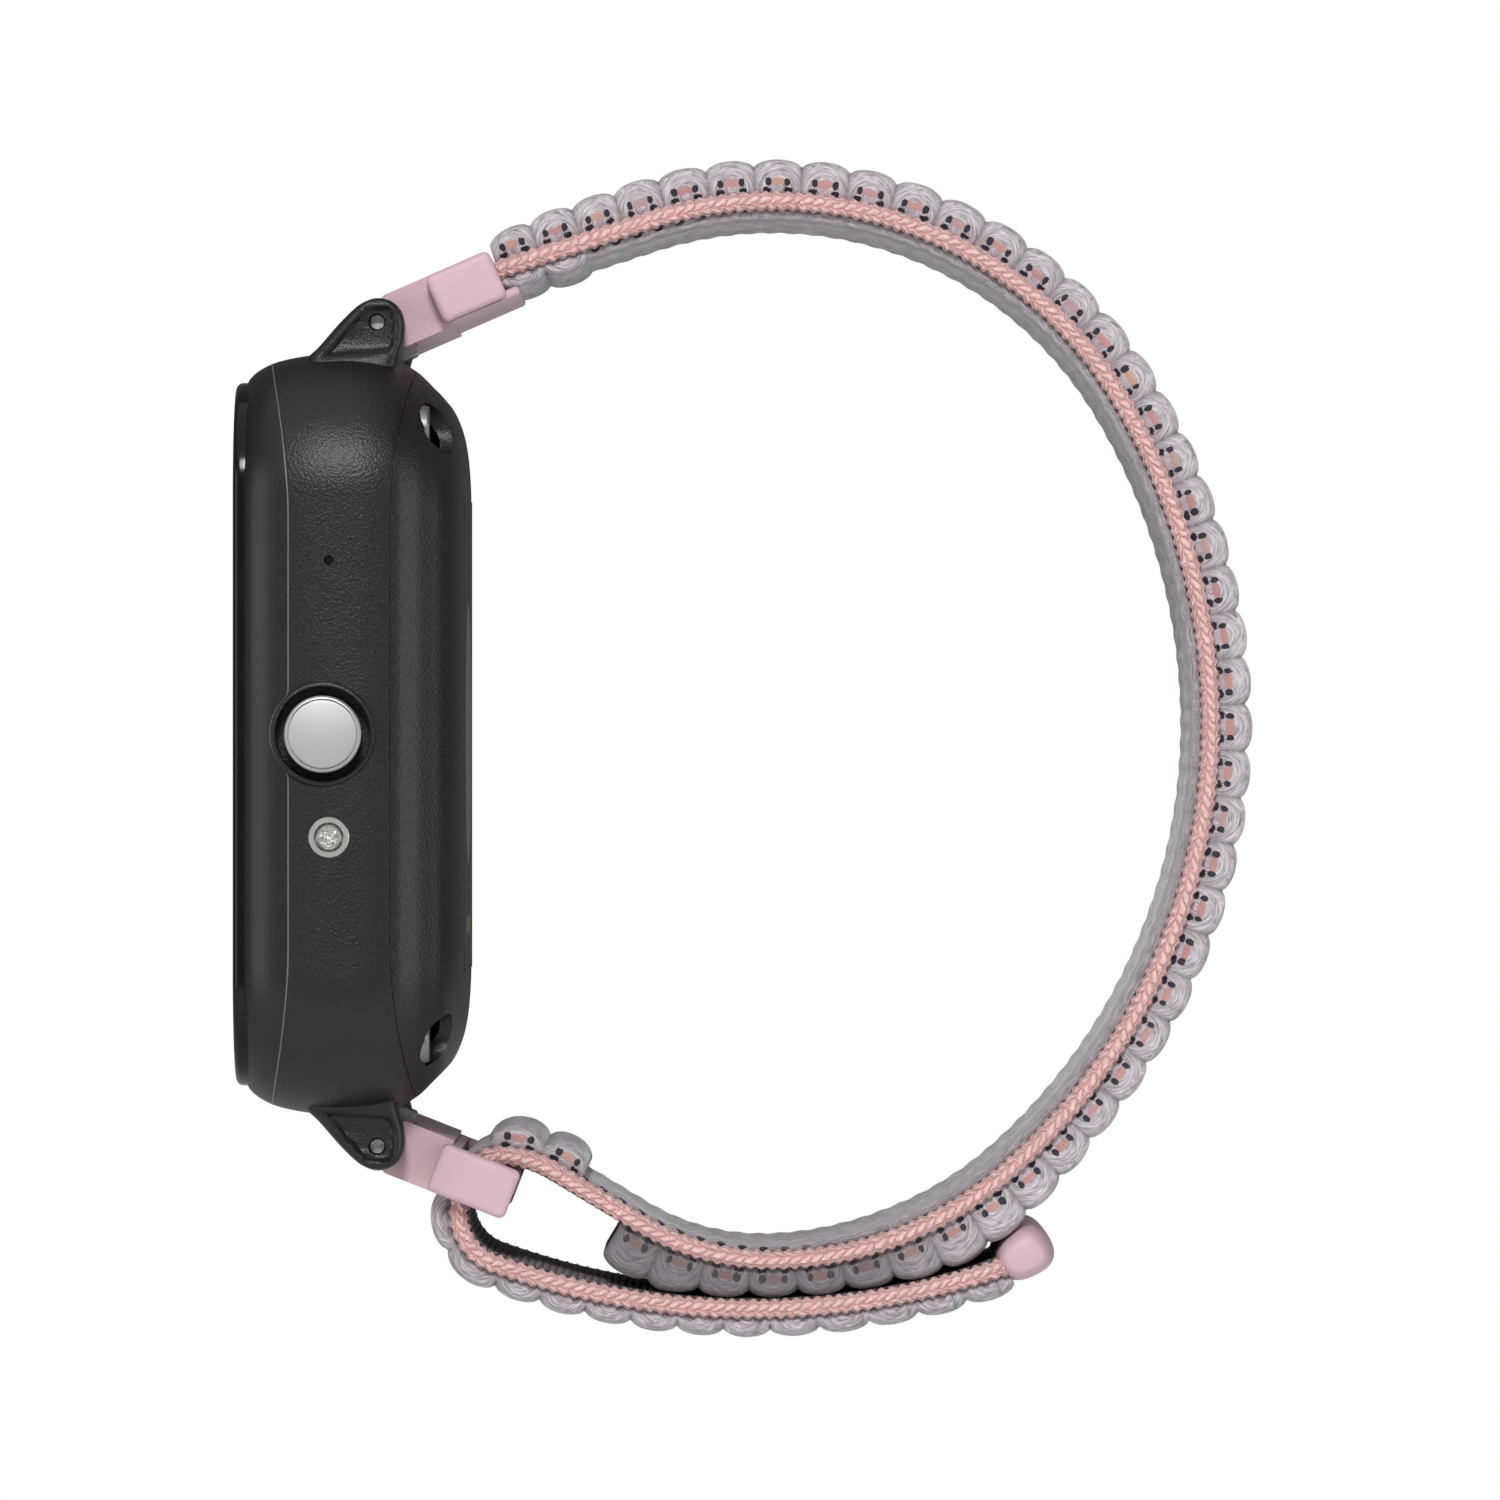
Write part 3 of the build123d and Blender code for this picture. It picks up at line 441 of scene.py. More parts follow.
def knit_edge(name, color, light, dark):
    """Braided knit of the strap's edges, in leaning columns of stitches, with painted shade in
    the gaps between loops and painted light on their tops.
    """
    look = Finish(name, color, 0.85, Sheen_Weight=0.3, Sheen_Roughness=0.5)
    uv = look.pattern()
    s, c, _ = look.split(uv)
    wander = look.node("TexNoise", {"Vector": uv, "Scale": 1.7, "Detail": 2.0}).outputs[0]
    column = look.over(look.plus(c, look.times(wander, 0.22)), KNIT_COLUMN)
    odd = look.math("FLOORED_MODULO", look.math("FLOOR", column), 2.0)
    across = look.math("FRACT", column)
    lean = look.times(look.math("MULTIPLY_ADD", odd, 2.0, -1.0), look.minus(across, 0.5))
    phase = look.math("MULTIPLY_ADD", s, 1 / KNIT_STITCH, look.times(wander, 1.6))
    phase = look.math("MULTIPLY_ADD", lean, 0.8, phase)
    phase = look.math("MULTIPLY_ADD", odd, 0.5, phase)
    loop = look.times(look.math("PINGPONG", phase, 0.5), 2.0)
    arch = look.math("ABSOLUTE", look.math("SINE", look.times(across, math.pi)))
    nub = look.times(look.math("POWER", loop, 0.6), look.math("POWER", arch, 0.6))
    fibre = look.strands(uv, 9.0, 14.0, 3.0)
    # stitch shape sets the tone: painted shade in the gaps between loops, painted light on the
    # loop tops, mixed with random fibre tone
    tone = look.plus(look.times(nub, 0.8), look.times(fibre, 0.6))
    look.paint(look.ramp(tone, [(0.25, dark), (0.62, color), (1.0, light)]))
    look.bump(look.plus(nub, look.times(fibre, 0.5)), 1.0, 0.00034)
    return look.material


def pile_cloth(name, mid, light, dark, pitch, windows, painted_shadow_span=None, holes=1.0):
    """Filament pile: strands over each ridge, with eyelets and coloured windows at its foot, and
    a painted shadow of the tail over a span.
    """
    look = Finish(name, mid, 0.6, Sheen_Weight=0.4, Sheen_Roughness=0.35)
    uv, wall = look.pattern("UVMap"), look.pattern("Wall")
    s, r, _ = look.split(wall)

    # strands that wander a little as they run
    wave = look.node("TexNoise", {"Vector": uv, "Scale": 0.9, "Detail": 2.0}).outputs["Color"]
    drift = look.node("VectorMath", {0: wave, "Scale": 0.22}, operation="SCALE").outputs[0]
    bent = look.node("VectorMath", {0: uv, 1: drift}, operation="ADD").outputs[0]
    strands = look.plus(look.times(look.strands(bent, 0.9, 5.5, 3.0), 0.4),
                        look.times(look.strands(bent, 1.9, 10.5, 5.0), 0.6))
    color = look.ramp(strands, [(0.38, dark), (0.5, mid), (0.6, light)])

    # painted shade in the crease between ridges, and paler yarn at the foot of the wall
    cell = look.over(s, pitch)
    ds = look.from_middle(cell, pitch)
    near = look.over(look.math("ABSOLUTE", ds), pitch / 2)
    crease_shade = look.times(look.math("POWER", near, 9.0), 0.7)
    color = look.mix(crease_shade, color, shade(dark, 0.55))
    foot = look.times(look.math("LESS_THAN", r, 0.86), 0.22)
    color = look.mix(foot, color, (light[0] * 0.9, light[1] * 0.82, light[2] * 0.95))

    # eyelets, two to a ridge, at uneven places, painted dark as the shade inside each hole
    ragged = look.strands(wall, 3.0, 5.0, 2.0)
    low = look.plus(r, look.math("MULTIPLY_ADD", ragged, 0.34, -0.17))
    slide = look.node("TexNoise", {"W": s, "Scale": 0.9}, noise_dimensions="1D").outputs[0]
    ds = look.plus(ds, look.math("MULTIPLY_ADD", slide, 0.3, -0.15))
    quarter = look.minus(look.math("ABSOLUTE", ds), pitch / 4)
    eyelet = look.times(look.oval(quarter, low, 0.66, 0.23, 0.15), holes)
    color = look.mix(eyelet, color, EYELET_HOLE_SHADE)
    height = look.minus(strands, look.times(eyelet, 1.2))

    if windows:
        ends = look.minus(look.math("ABSOLUTE", ds), 0.58)
        hole = look.oval(ends, low, 1.13, 0.16, 0.22)
        pad = look.oval(ds, low, 1.13, 0.47, 0.22)
        pick = look.node("TexWhiteNoise", {"W": look.math("FLOOR", cell)}, noise_dimensions="1D")
        yarn = look.ramp(pick.outputs[0], WINDOW_YARNS)
        grain = look.times(look.strands(wall, 3.0, 11.0, 2.0), 0.6)
        color = look.mix(pad, color, look.mix(grain, yarn, WINDOW_LIGHT))
        # window ends painted dark as the shade inside the holes
        color = look.mix(hole, color, EYELET_HOLE_SHADE)
        height = look.minus(height, look.times(hole, 1.2))
    # painted shadow of the tail: the pile darkens over this span under it
    if painted_shadow_span:
        painted_shadow = look.fade(look.split(uv)[0], *painted_shadow_span, 0.7)
        color = look.mix(painted_shadow, color, shade(dark, 0.2))
    look.paint(color)
    look.bump(height, 0.7, 0.00016)
    return look.material


def felt_cloth(name, mid, light, dark, eyelets=False):
    """Brushed inner face with small darker tufts, and a row of eyelets near its ends."""
    look = Finish(name, mid, 0.9, Sheen_Weight=0.4, Sheen_Roughness=0.5)
    uv = look.pattern("UVMap")
    tone = look.plus(look.times(look.strands(uv, 6.0, 9.0, 4.0), 0.55),
                     look.times(look.strands(uv, 1.1, 1.6, 2.0), 0.45))
    color = look.ramp(tone, [(0.38, dark), (0.5, mid), (0.62, light)])
    if eyelets:
        s, r, _ = look.split(look.pattern("Wall"))
        ds = look.from_middle(look.over(s, EYELET_PITCH), EYELET_PITCH)
        eyelet = look.oval(ds, r, 0.60, 0.26, 0.14)
        ends = look.plus(look.fade(s, 16.0, 10.0), look.fade(s, 98.0, 104.0))
        # eyelets painted near-black as the shade inside each hole
        color = look.mix(look.times(eyelet, ends), color, (0.012, 0.011, 0.025))
    look.paint(color)
    look.bump(tone, 0.8, 0.00018)
    return look.material


def hook_cloth(name):
    """Dark hook face with a painted highlight along each rib's crest across the strap, and a few
    blue and red flecks.
    """
    look = Finish(name, (0.05, 0.035, 0.032), 0.6, Sheen_Weight=0.2)
    uv = look.pattern()
    rib = look.math("PINGPONG", look.split(uv)[0], 0.215)
    # painted highlight: the colour turns pale where each rib's crest rises
    shine = look.times(look.times(rib, 4.6), look.strands(uv, 1.5, 6.0, 3.0))
    color = look.ramp(shine, [(0.25, (0.028, 0.018, 0.017)), (0.42, (0.12, 0.09, 0.085)),
                              (0.56, (0.62, 0.58, 0.58))])
    fleck = look.strands(uv, 0.9, 3.0, 1.0)
    color = look.mix(look.math("GREATER_THAN", fleck, 0.68), color, (0.03, 0.035, 0.2))
    color = look.mix(look.math("LESS_THAN", fleck, 0.3), color, (0.22, 0.05, 0.04))
    look.paint(color)
    look.bump(rib, 1.0, 0.0006)
    return look.material


def turned_metal(name, color, roughness, centre, facets=0.0):
    """Metal with fine turning marks round an axis along X, faceted inside a radius."""
    look = Finish(name, color, roughness, Metallic=1.0)
    moved = look.node("Mapping", {"Vector": look.place(),
                                  "Location": (0.0, -centre[0], -centre[1])})
    _, y, z = look.split(moved.outputs[0])
    radius = look.math("SQRT", look.plus(look.math("POWER", y, 2.0), look.math("POWER", z, 2.0)))
    rings = look.node("TexNoise", {"W": radius, "Scale": 9000.0, "Detail": 2.0},
                      noise_dimensions="1D").outputs[0]
    tone = look.plus(look.times(rings, 0.12), look.times(look.noise(700.0, 3.0), 0.1))
    look.feed(look.shader.inputs["Roughness"], look.plus(tone, roughness - 0.1))
    shaped = look.bump(rings, 0.25, 0.00001)
    if facets:
        gem = look.node("TexVoronoi", {"Vector": look.place(), "Scale": 2600.0})
        inside = look.math("LESS_THAN", radius, facets * MM)
        look.bump(look.times(gem.outputs["Distance"], inside), 1.0, 0.0003, shaped)
    return look.material


def finishes():
    """All finishes, made once from the panel's colours."""
    if FINISHES:
        return FINISHES
    colours = bpy.context.scene.watch_colours
    case, pink = tuple(colours.case), tuple(colours.connector)
    edge, pile = tuple(colours.edge), tuple(colours.pile)
    light, dark = shade(pile, 1.5), shade(pile, 0.48)
    felt = shade(pile, 0.84), shade(pile, 1.3), shade(pile, 0.46)
    sizes = bpy.context.scene.watch_strap
    pitch, tail_pitch = sizes.pitch / MM, sizes.tail_pitch / MM
    FINISHES.update({
        "case": moulded("Grained Housing", case, 0.36, 7400.0, 22e-6, 0.2, 0.42),
        "bezel": moulded("Satin Bezel", shade(case, 1.6), 0.38, 9500.0, 6e-6, 0.06, 0.38),
        # pale grey bead: painted highlight along the bezel's seam
        "bead": moulded("Bezel Edge Highlight", (0.1, 0.1, 0.1), 0.3, 6000.0, 6e-6, gloss=0.6),
        "glass": moulded("Cover Glass", (0.005, 0.005, 0.006), 0.12, 500.0, 1e-6, gloss=0.2),
        "connector": moulded("Dusty Pink Plastic", pink, 0.38, 5200.0, 12e-6, 0.08),
        "steel": moulded("Turned Steel", STEEL, 0.35, 4000.0, 1e-5, metal=1.0),
        # darker steel on the screw heads: painted shade of the recesses they sit in
        "screw": moulded("Screw Steel", (0.2, 0.2, 0.2), 0.45, 4000.0, 1e-5, metal=1.0),
        "gold": moulded("Contact Gold", (0.72, 0.5, 0.2), 0.3, 4000.0, 1e-5, metal=1.0),
        "button": turned_metal("Button Metal", (0.48, 0.48, 0.48), 0.5,
                               node_centre("button_cap")),
        "lamp": turned_metal("Lamp Ring Metal", (0.45, 0.45, 0.44), 0.4,
                             node_centre("side_lamp_ring"), LAMP_LENS_R),
        # lighter and darker edge colours: painted light on the loop tops and painted shade in the
        # gaps
        "edge": knit_edge("Knit Edge", edge, shade(edge, 1.22),
                          (edge[0] * 0.8, edge[1] * 0.62, edge[2] * 0.62)),
        "pile": pile_cloth("Loop Pile", pile, light, dark, pitch, True, SHADOW_UNDER_TAIL),
        "knot_pile": pile_cloth("Fold Pile", shade(pile, 0.85), light, dark, tail_pitch, True),
        "tail_pile": pile_cloth("Tail Pile", shade(pile, 0.8), light, dark, tail_pitch, False,
                                holes=0.4),
        "felt": felt_cloth("Inner Felt", *felt),
        "felt_eyelets": felt_cloth("Inner Felt With Eyelets", *felt, eyelets=True),
        "web": felt_cloth("Web Cloth", shade(pile, 0.9), light, dark),
        "hook": hook_cloth("Hook Face"),
    })
    return FINISHES


def node_centre(name):
    """Middle of a CAD node in Y and Z."""
    low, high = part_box(name)
    return (low[1] + high[1]) / 2, (low[2] + high[2]) / 2


# ---- panel values -----------------------------------------------------------

class WatchStrapSizes(PropertyGroup):
    """Sizes of the woven strap."""
    pitch: FloatProperty(name="Ridge Pitch", description="Length of one ridge of the main strap",
                         default=0.00255, unit="LENGTH")
    tail_pitch: FloatProperty(name="Tail Ridge Pitch",
                              description="Length of one ridge of the tail",
                              default=0.0026, unit="LENGTH")
    peak: FloatProperty(name="Ridge Height", description="Ridge top above the strap's middle",
                        default=0.00244, unit="LENGTH")
    valley: FloatProperty(name="Valley Height", description="Valley above the strap's middle",
                          default=0.00202, unit="LENGTH")
    tail_peak: FloatProperty(name="Tail Ridge Height",
                             description="Tail ridge top above the strap's middle",
                             default=0.00165, unit="LENGTH")
    lobes: IntProperty(name="Lobes", description="Loops side by side in one ridge", default=10)


class WatchColours(PropertyGroup):
    """Colours of the watch."""
    case: FloatVectorProperty(name="Case", description="Black case plastic", subtype="COLOR",
                              default=(0.0035, 0.0035, 0.0038))
    connector: FloatVectorProperty(name="Connector", description="Dusty pink plastic",
                                   subtype="COLOR", default=(0.50, 0.345, 0.39))
    edge: FloatVectorProperty(name="Knit Edge", description="Salmon knit edge", subtype="COLOR",
                              default=(0.98, 0.55, 0.525))
    pile: FloatVectorProperty(name="Pile", description="Grey lilac pile", subtype="COLOR",
                              default=(0.43, 0.395, 0.42))


# ---- strap, in millimetres --------------------------------------------------

RIDGE_START = 0.06
RIDGE_COUNTS = (9, 8, 9, 9, 9)
TAIL_RIDGES = 4
KNOT_RIDGES = 2
EDGE_MIDDLE, EDGE_HALF_WIDE, EDGE_HALF_THICK, EDGE_NUB = 9.5, 0.54, 0.52, 0.08
EDGE_ROUND = 0.72
PILE_HALF, WALL_BULGE, WALL_TUCK = 9.2, 0.4, 0.12
FELT_HALF, WEB_HALF, HOOK_HALF = 9.25, 9.1, 9.15
FELT_TOP, FELT_FACE, FELT_THINNING = -0.38, -1.14, 0.46
WEB_TOP, WEB_LOW = 0.40, -0.40
HOOK_LAYER = (0.38, 0.58)
WALL_FOOT = 0.36
WALL_SHARE = 0.16
FOOT_SHARE = 0.1
RIM_WIDTH, RIM_FALL, LOBE_DIP = 0.75, 0.3, 0.20
OFF_WALL = 9.0
RISE_START, RISE, RISE_RUN = 84.0, 0.6, 8.0
TAIL_GAP = 0.62
TAIL_STEP = 0.4


def tail_clearance(s):
    """Distance from the main strap's middle to the tail's middle."""
    here = on_strap(0, s, 0) / MM
    return min((on_strap(0, TAIL_START + step * TAIL_STEP, 0) / MM - here).length
               for step in range(int(TAIL_LENGTH / TAIL_STEP) + 1))


HEIGHTS = {}


def main_heights(s):
    """Valley and peak of the main strap's ridges: low at the connector and under the tail."""
    key = round(s, 2)
    if key not in HEIGHTS:
        sizes = bpy.context.scene.watch_strap
        valley, peak = sizes.valley / MM, sizes.peak / MM
        young = 0.55 * math.exp(-s / 2.2)
        top = peak - young
        if s > RISE_START:
            reach = peak + RISE * min(1.0, (s - RISE_START) / RISE_RUN)
            top = min(reach, tail_clearance(s) - TAIL_GAP)
        HEIGHTS[key] = (max(1.25, top - (peak - valley)), top)
    return HEIGHTS[key]


def felt_low(s):
    """Inner face of the felt, thinner towards the fold."""
    share = min(max((s - 94.0) / 17.0, 0.0), 1.0)
    return FELT_FACE + FELT_THINNING * share * share * (3 - 2 * share)


def even_heights(valley, peak):
    """The same valley and peak along a whole length."""
    return lambda s: (valley, peak)


def blend_over(piece):
    """Bake a piece's place into its mesh; the piece is not bent and rides on no body."""
    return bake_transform(piece)


def ridge_shape(phase):
    """Height share of a ridge across its pitch, round on top and tight in the valley."""
    return max(0.0, 1 - abs(2 * phase - 1) ** 2.2) ** 0.75


def pile_section(s, k, first, pitch, heights, lobes, side):
    """Outline of the pile: foot, side wall, lobed top, side wall, foot."""
    turn = (s - first) / pitch
    row = math.floor(turn + 1e-6)
    shape = ridge_shape(min(max(turn - row, 0.0), 1.0))
    valley, peak = heights(s)
    top = valley + (peak - valley) * shape
    tuck = WALL_TUCK * (1 - shape)
    if k < WALL_SHARE or k > 1 - WALL_SHARE:
        share = k / WALL_SHARE if k < WALL_SHARE else (1 - k) / WALL_SHARE
        sign = 1 if k < WALL_SHARE else -1
        r = WALL_FOOT + (top - RIM_FALL - WALL_FOOT) * share
        x = PILE_HALF + WALL_BULGE * math.sin(share * math.pi * 0.62) - tuck * share
        return sign * x, side * r
    across = (k - WALL_SHARE) / (1 - 2 * WALL_SHARE)
    x_share = 1 - 2 * across
    edge_x = PILE_HALF + WALL_BULGE * math.sin(math.pi * 0.62) - tuck
    x = edge_x * math.copysign(1 - (1 - abs(x_share)) ** 1.08, x_share)
    rim = max(0.0, (abs(x) - (edge_x - RIM_WIDTH)) / RIM_WIDTH)
    fall = RIM_FALL * rim ** 2.4
    cell = x / (2 * PILE_HALF / lobes) + (0.5 if row % 2 else 0.0)
    dip = LOBE_DIP * abs(math.cos(math.pi * cell)) ** 6 * (1 - rim) * (0.35 + 0.65 * shape)
    return x, side * (top - fall - dip)


def pile_marks(s, k, first, pitch, peak):
    """Strand coordinates: arches on the side wall, straight runs on the top."""
    share = min(k, 1 - k) / WALL_SHARE
    if share < 1:
        phase = ((s - first) / pitch) % 1.0
        ds = (phase - 0.5) * 2
        r = WALL_FOOT + (peak - RIM_FALL - WALL_FOOT) * share
        centre = 0.8 if peak > 2 else 0.35
        arch = math.sqrt((ds * 0.95) ** 2 + ((r - centre) / 1.3) ** 2)
        return s, arch * 1.45
    return s, 1.45 + (share - 1) * 1.8


def closed_pile(s, k, first, pitch, heights, lobes, side):
    """Pile outline whose last tenth is its flat foot."""
    over = 1 - FOOT_SHARE
    if k <= over:
        return pile_section(s, k / over, first, pitch, heights, lobes, side)
    start_x, start_r = pile_section(s, 1.0, first, pitch, heights, lobes, side)
    return start_x * (1 - 2 * (k - over) / FOOT_SHARE), start_r


def add_pile(name, s0, s1, first, pitch, heights, lobes, side, material):
    """One length of ridged pile."""
    ridges = max(1, round((s1 - s0) / pitch))
    piece = strap_tube(
        name, s0, s1, ridges * 12, 84,
        lambda s, k: closed_pile(s, k, first, pitch, heights, lobes, side),
        lambda s, k: pile_marks(s, min(k / (1 - FOOT_SHARE), 1.0), first, pitch,
                                heights(s)[1]))
    wall_map(piece, first, side, 9.1)
    return finish_piece(piece, None, material, 55.0)


def wall_map(piece, first, side, wall_x):
    """Second pattern map: length and height on the side wall, off the wall elsewhere."""
    mesh = piece.data
    walls = mesh.uv_layers.new(name="Wall")
    strands = mesh.uv_layers["UVMap"].data
    for loop in mesh.loops:
        s = strands[loop.index].uv[0]
        point = mesh.vertices[loop.vertex_index].co / MM
        y, z, heading = strap_state(s)
        ny, nz = unit(heading + 90)
        r = side * ((point.y - y) * ny + (point.z - z) * nz)
        walls.data[loop.index].uv = (s - first, OFF_WALL if abs(point.x) < wall_x else r)


def edge_section(s, k, side):
    """Rounded outline of a knit edge with its nubs; its seam faces the strap's middle."""
    x, r = rounded(k + (0.5 if side > 0 else 0.0), EDGE_ROUND, EDGE_ROUND)
    nub = EDGE_NUB * math.sin(2 * math.pi * (s / KNIT_STITCH + 0.5 * (r > 0)))
    return side * EDGE_MIDDLE + x * (EDGE_HALF_WIDE + 0.5 * nub), r * (EDGE_HALF_THICK + nub)


def add_edges(name, s0, s1, material):
    """Both knit edges of one length of strap, as one piece."""
    made = []
    for side in (-1, 1):
        steps = max(4, round((s1 - s0) / 0.14))
        made.append(strap_tube(name + "_side", s0, s1, steps, 20,
                               lambda s, k: edge_section(s, k, side),
                               lambda s, k: (s, k * 3.4)))
    return finish_piece(join_as(name, *made), None, material, 60.0)


def layer_section(s, k, low, high, half, ripple):
    """Outline of a thin layer between two heights; with no low height it is the felt's."""
    x, r = rounded(k, 0.12, 0.35)
    low = felt_low(s) if low is None else low
    r = (low + high) / 2 + r * (high - low) / 2
    return x * half, r + ripple * math.sin(2 * math.pi * s / EYELET_PITCH)


def add_layer(name, s0, s1, low, high, half, ripple, slot, material):
    """One thin layer of the strap."""
    steps = max(4, round((s1 - s0) / 0.3))
    piece = strap_tube(name, s0, s1, steps, 44,
                       lambda s, k: layer_section(s, k, low, high, half, ripple),
                       lambda s, k: (s, abs(k * 2 - 1) * 19.0))
    wall_map(piece, 0.0, -1, half - 0.35)
    return finish_piece(piece, None, material, 50.0)


def strap_stops():
    """Ends of the main strap's five lengths along its route."""
    sizes = bpy.context.scene.watch_strap
    stops = [RIDGE_START]
    for count in RIDGE_COUNTS:
        stops.append(stops[-1] + count * sizes.pitch / MM)
    return stops


MAIN_BODIES = (("upper_strap", "strap_2"), ("strap_2", "strap_3"), ("strap_3", "strap_4"),
               ("strap_4", "lower_strap"), ("lower_strap", None))
TAIL_BODIES = (("lower_strap", "tail_root"), ("tail_root", "tail_middle"),
               ("tail_middle", "tail_end"))


def carry(piece, bodies):
    """Ride on one body, or, between two, only have the piece's place baked into its mesh."""
    if bodies[1] is None:
        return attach(piece, bodies[0])
    return blend_over(piece)


class WATCH_OT_main_strap(Operator):
    """Build the strap from the upper connector round the wrist"""
    bl_idname = "watch.main_strap"
    bl_label = "Main Strap"

    def execute(self, context):
        sizes, looks = context.scene.watch_strap, finishes()
        stops = strap_stops()
        pitch = sizes.pitch / MM
        knots = RIDGE_START + KNOT_RIDGES * pitch
        for index, bodies in enumerate(MAIN_BODIES):
            s0, s1 = stops[index], stops[index + 1]
            number = str(index + 1)
            begin = s0 if index else 0.02
            felt = looks["felt_eyelets"] if index in (0, 4) else looks["felt"]
            pieces = [
                add_pile("strap_pile_" + number, s0, s1, RIDGE_START, pitch, main_heights,
                         sizes.lobes, 1, looks["pile"]),
                add_edges("strap_edge_" + number, begin, s1, looks["edge"]),
                add_layer("strap_felt_" + number, begin if index else knots, s1, None,
                          FELT_TOP, FELT_HALF, 0.035, "strap", felt),
                add_layer("strap_web_" + number, begin, s1, WEB_LOW, WEB_TOP, WEB_HALF, 0.0,
                          "strap", looks["web"]),
            ]
            if index == 0:
                pieces.append(add_pile("strap_knots", RIDGE_START, knots, RIDGE_START, pitch,
                                       even_heights(1.15, 1.5), sizes.lobes, -1,
                                       looks["tail_pile"]))
            for piece in pieces:
                carry(piece, bodies)
            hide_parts("band_" + number)
        return {"FINISHED"}


FOLD_WEB_LOW = -0.42
TAIL_FIRST = SLOT_START + 1.3
FOLD_KNOTS = KICK_END - 4.9
TAIL_END = STRAP_LENGTH + 0.4


class WATCH_OT_fold(Operator):
    """Build the hook length that runs over the end bar and through the slot"""
    bl_idname = "watch.fold"
    bl_label = "Fold"

    def execute(self, context):
        sizes, looks = context.scene.watch_strap, finishes()
        begin, pitch = strap_stops()[-1], sizes.tail_pitch / MM
        knots_end = FOLD_KNOTS + KNOT_RIDGES * pitch
        pieces = [
            add_edges("fold_edge", begin, TAIL_FIRST, looks["edge"]),
            add_layer("fold_hook", begin, TAIL_FIRST, *HOOK_LAYER, HOOK_HALF, 0.0, "hook",
                      looks["hook"]),
            add_layer("fold_web", begin, TAIL_FIRST, FOLD_WEB_LOW, WEB_TOP, WEB_HALF, 0.0,
                      "hook", looks["web"]),
            add_layer("fold_felt", begin, FOLD_KNOTS, None, WEB_LOW, FELT_HALF, 0.03, "strap",
                      looks["felt_eyelets"]),
            add_pile("fold_pile", FOLD_KNOTS, knots_end, FOLD_KNOTS, pitch,
                     even_heights(1.25, 1.85), sizes.lobes, -1, looks["knot_pile"]),
            add_layer("slot_pile", knots_end, TAIL_FIRST, -0.85, WEB_LOW, 9.2, 0.0, "strap",
                      looks["felt"]),
        ]
        for piece in pieces:
            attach(piece, "lower_strap")
        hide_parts("hook_fold")
        return {"FINISHED"}


class WATCH_OT_tail(Operator):
    """Build the three lengths of tail that lie back over the strap"""
    bl_idname = "watch.tail"
    bl_label = "Tail"

    def execute(self, context):
        sizes, looks = context.scene.watch_strap, finishes()
        pitch = sizes.tail_pitch / MM
        stops = [TAIL_FIRST, TAIL_FIRST + TAIL_RIDGES * pitch,
                 TAIL_FIRST + 2 * TAIL_RIDGES * pitch, TAIL_END]
        heights = even_heights(1.22, sizes.tail_peak / MM)
        for index, bodies in enumerate(TAIL_BODIES):
            s0, s1 = stops[index], stops[index + 1]
            number = str(index + 1)
            step = (s1 - s0) / round((s1 - s0) / pitch)
            pieces = [
                add_pile("tail_pile_" + number, s0, s1, s0, step, heights, sizes.lobes, -1,
                         looks["tail_pile"]),
                add_edges("tail_edge_" + number, s0, s1, looks["edge"]),
                add_layer("tail_hook_" + number, s0, s1, *HOOK_LAYER, HOOK_HALF, 0.0, "hook",
                          looks["hook"]),
                add_layer("tail_web_" + number, s0, s1, FOLD_WEB_LOW, WEB_TOP, WEB_HALF, 0.0,
                          "hook", looks["web"]),
            ]
            for piece in pieces:
                carry(piece, bodies)
            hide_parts("tail_" + number)
        return {"FINISHED"}


# ---- case and fittings, in millimetres --------------------------------------

NODE_FINISH = {
    "front_glass": "glass", "sensor_window": "glass", "upper_connector": "connector",
    "lower_connector": "connector", "charge_contacts": "gold",
}
HALF_X, HALF_Z, CORNER = 18.5, 21.72, 8.0
# (depth, how far the outline draws in)
SHELL = ((-12.42, 1.85), (-12.3, 1.5), (-11.8, 1.02), (-10.9, 0.55), (-9.8, 0.26), (-8.6, 0.07),
         (-7.5, 0.0), (-6.4, 0.0), (-5.4, 0.06), (-4.3, 0.25), (-3.5, 0.5), (-3.1, 0.76),
         (-2.5, 1.18), (-1.8, 1.88), (-1.05, 2.72), (-0.45, 4.1), (-0.17, 5.5), (-0.04, 7.0),
         (0.0, 8.3))
FRONT_RIM = SHELL[0][0]
FRONT_SEAM = -9.8
BACK_SEAM = -4.05
BOSS_Y, BOSS_R, BOSS_HALF = -7.83, 3.0, 2.26
LIP = 0.09
SHELL_ROWS, OUTER_ROWS, SHELL_COLUMNS = 40, 26, 400
# (height, front edge, back edge, outer face)
LUG = ((20.2, -9.0, -3.75, 13.5), (21.0, -9.0, -3.75, 13.35), (21.5, -8.85, -3.68, 13.2),
       (21.9, -8.42, -3.58, 13.08), (22.3, -8.05, -3.45, 13.02), (22.8, -7.62, -3.38, 13.0),
       (23.3, -7.18, -3.36, 13.0), (23.8, -6.7, -3.45, 13.0), (24.2, -6.28, -3.62, 13.0),
       (24.5, -5.9, -3.88, 12.96), (24.7, -5.5, -4.2, 12.85), (24.82, -5.1, -4.6, 12.6))
PANEL_SINK = 0.34
LUG_HOLE_R = 0.5
RECESS_R, PORT_R, LAMP_SEAT_R = 2.9, 0.29, 1.17
PORT_Z = 9.83
SCREW_X, SCREW_Z = 14.3, 17.4
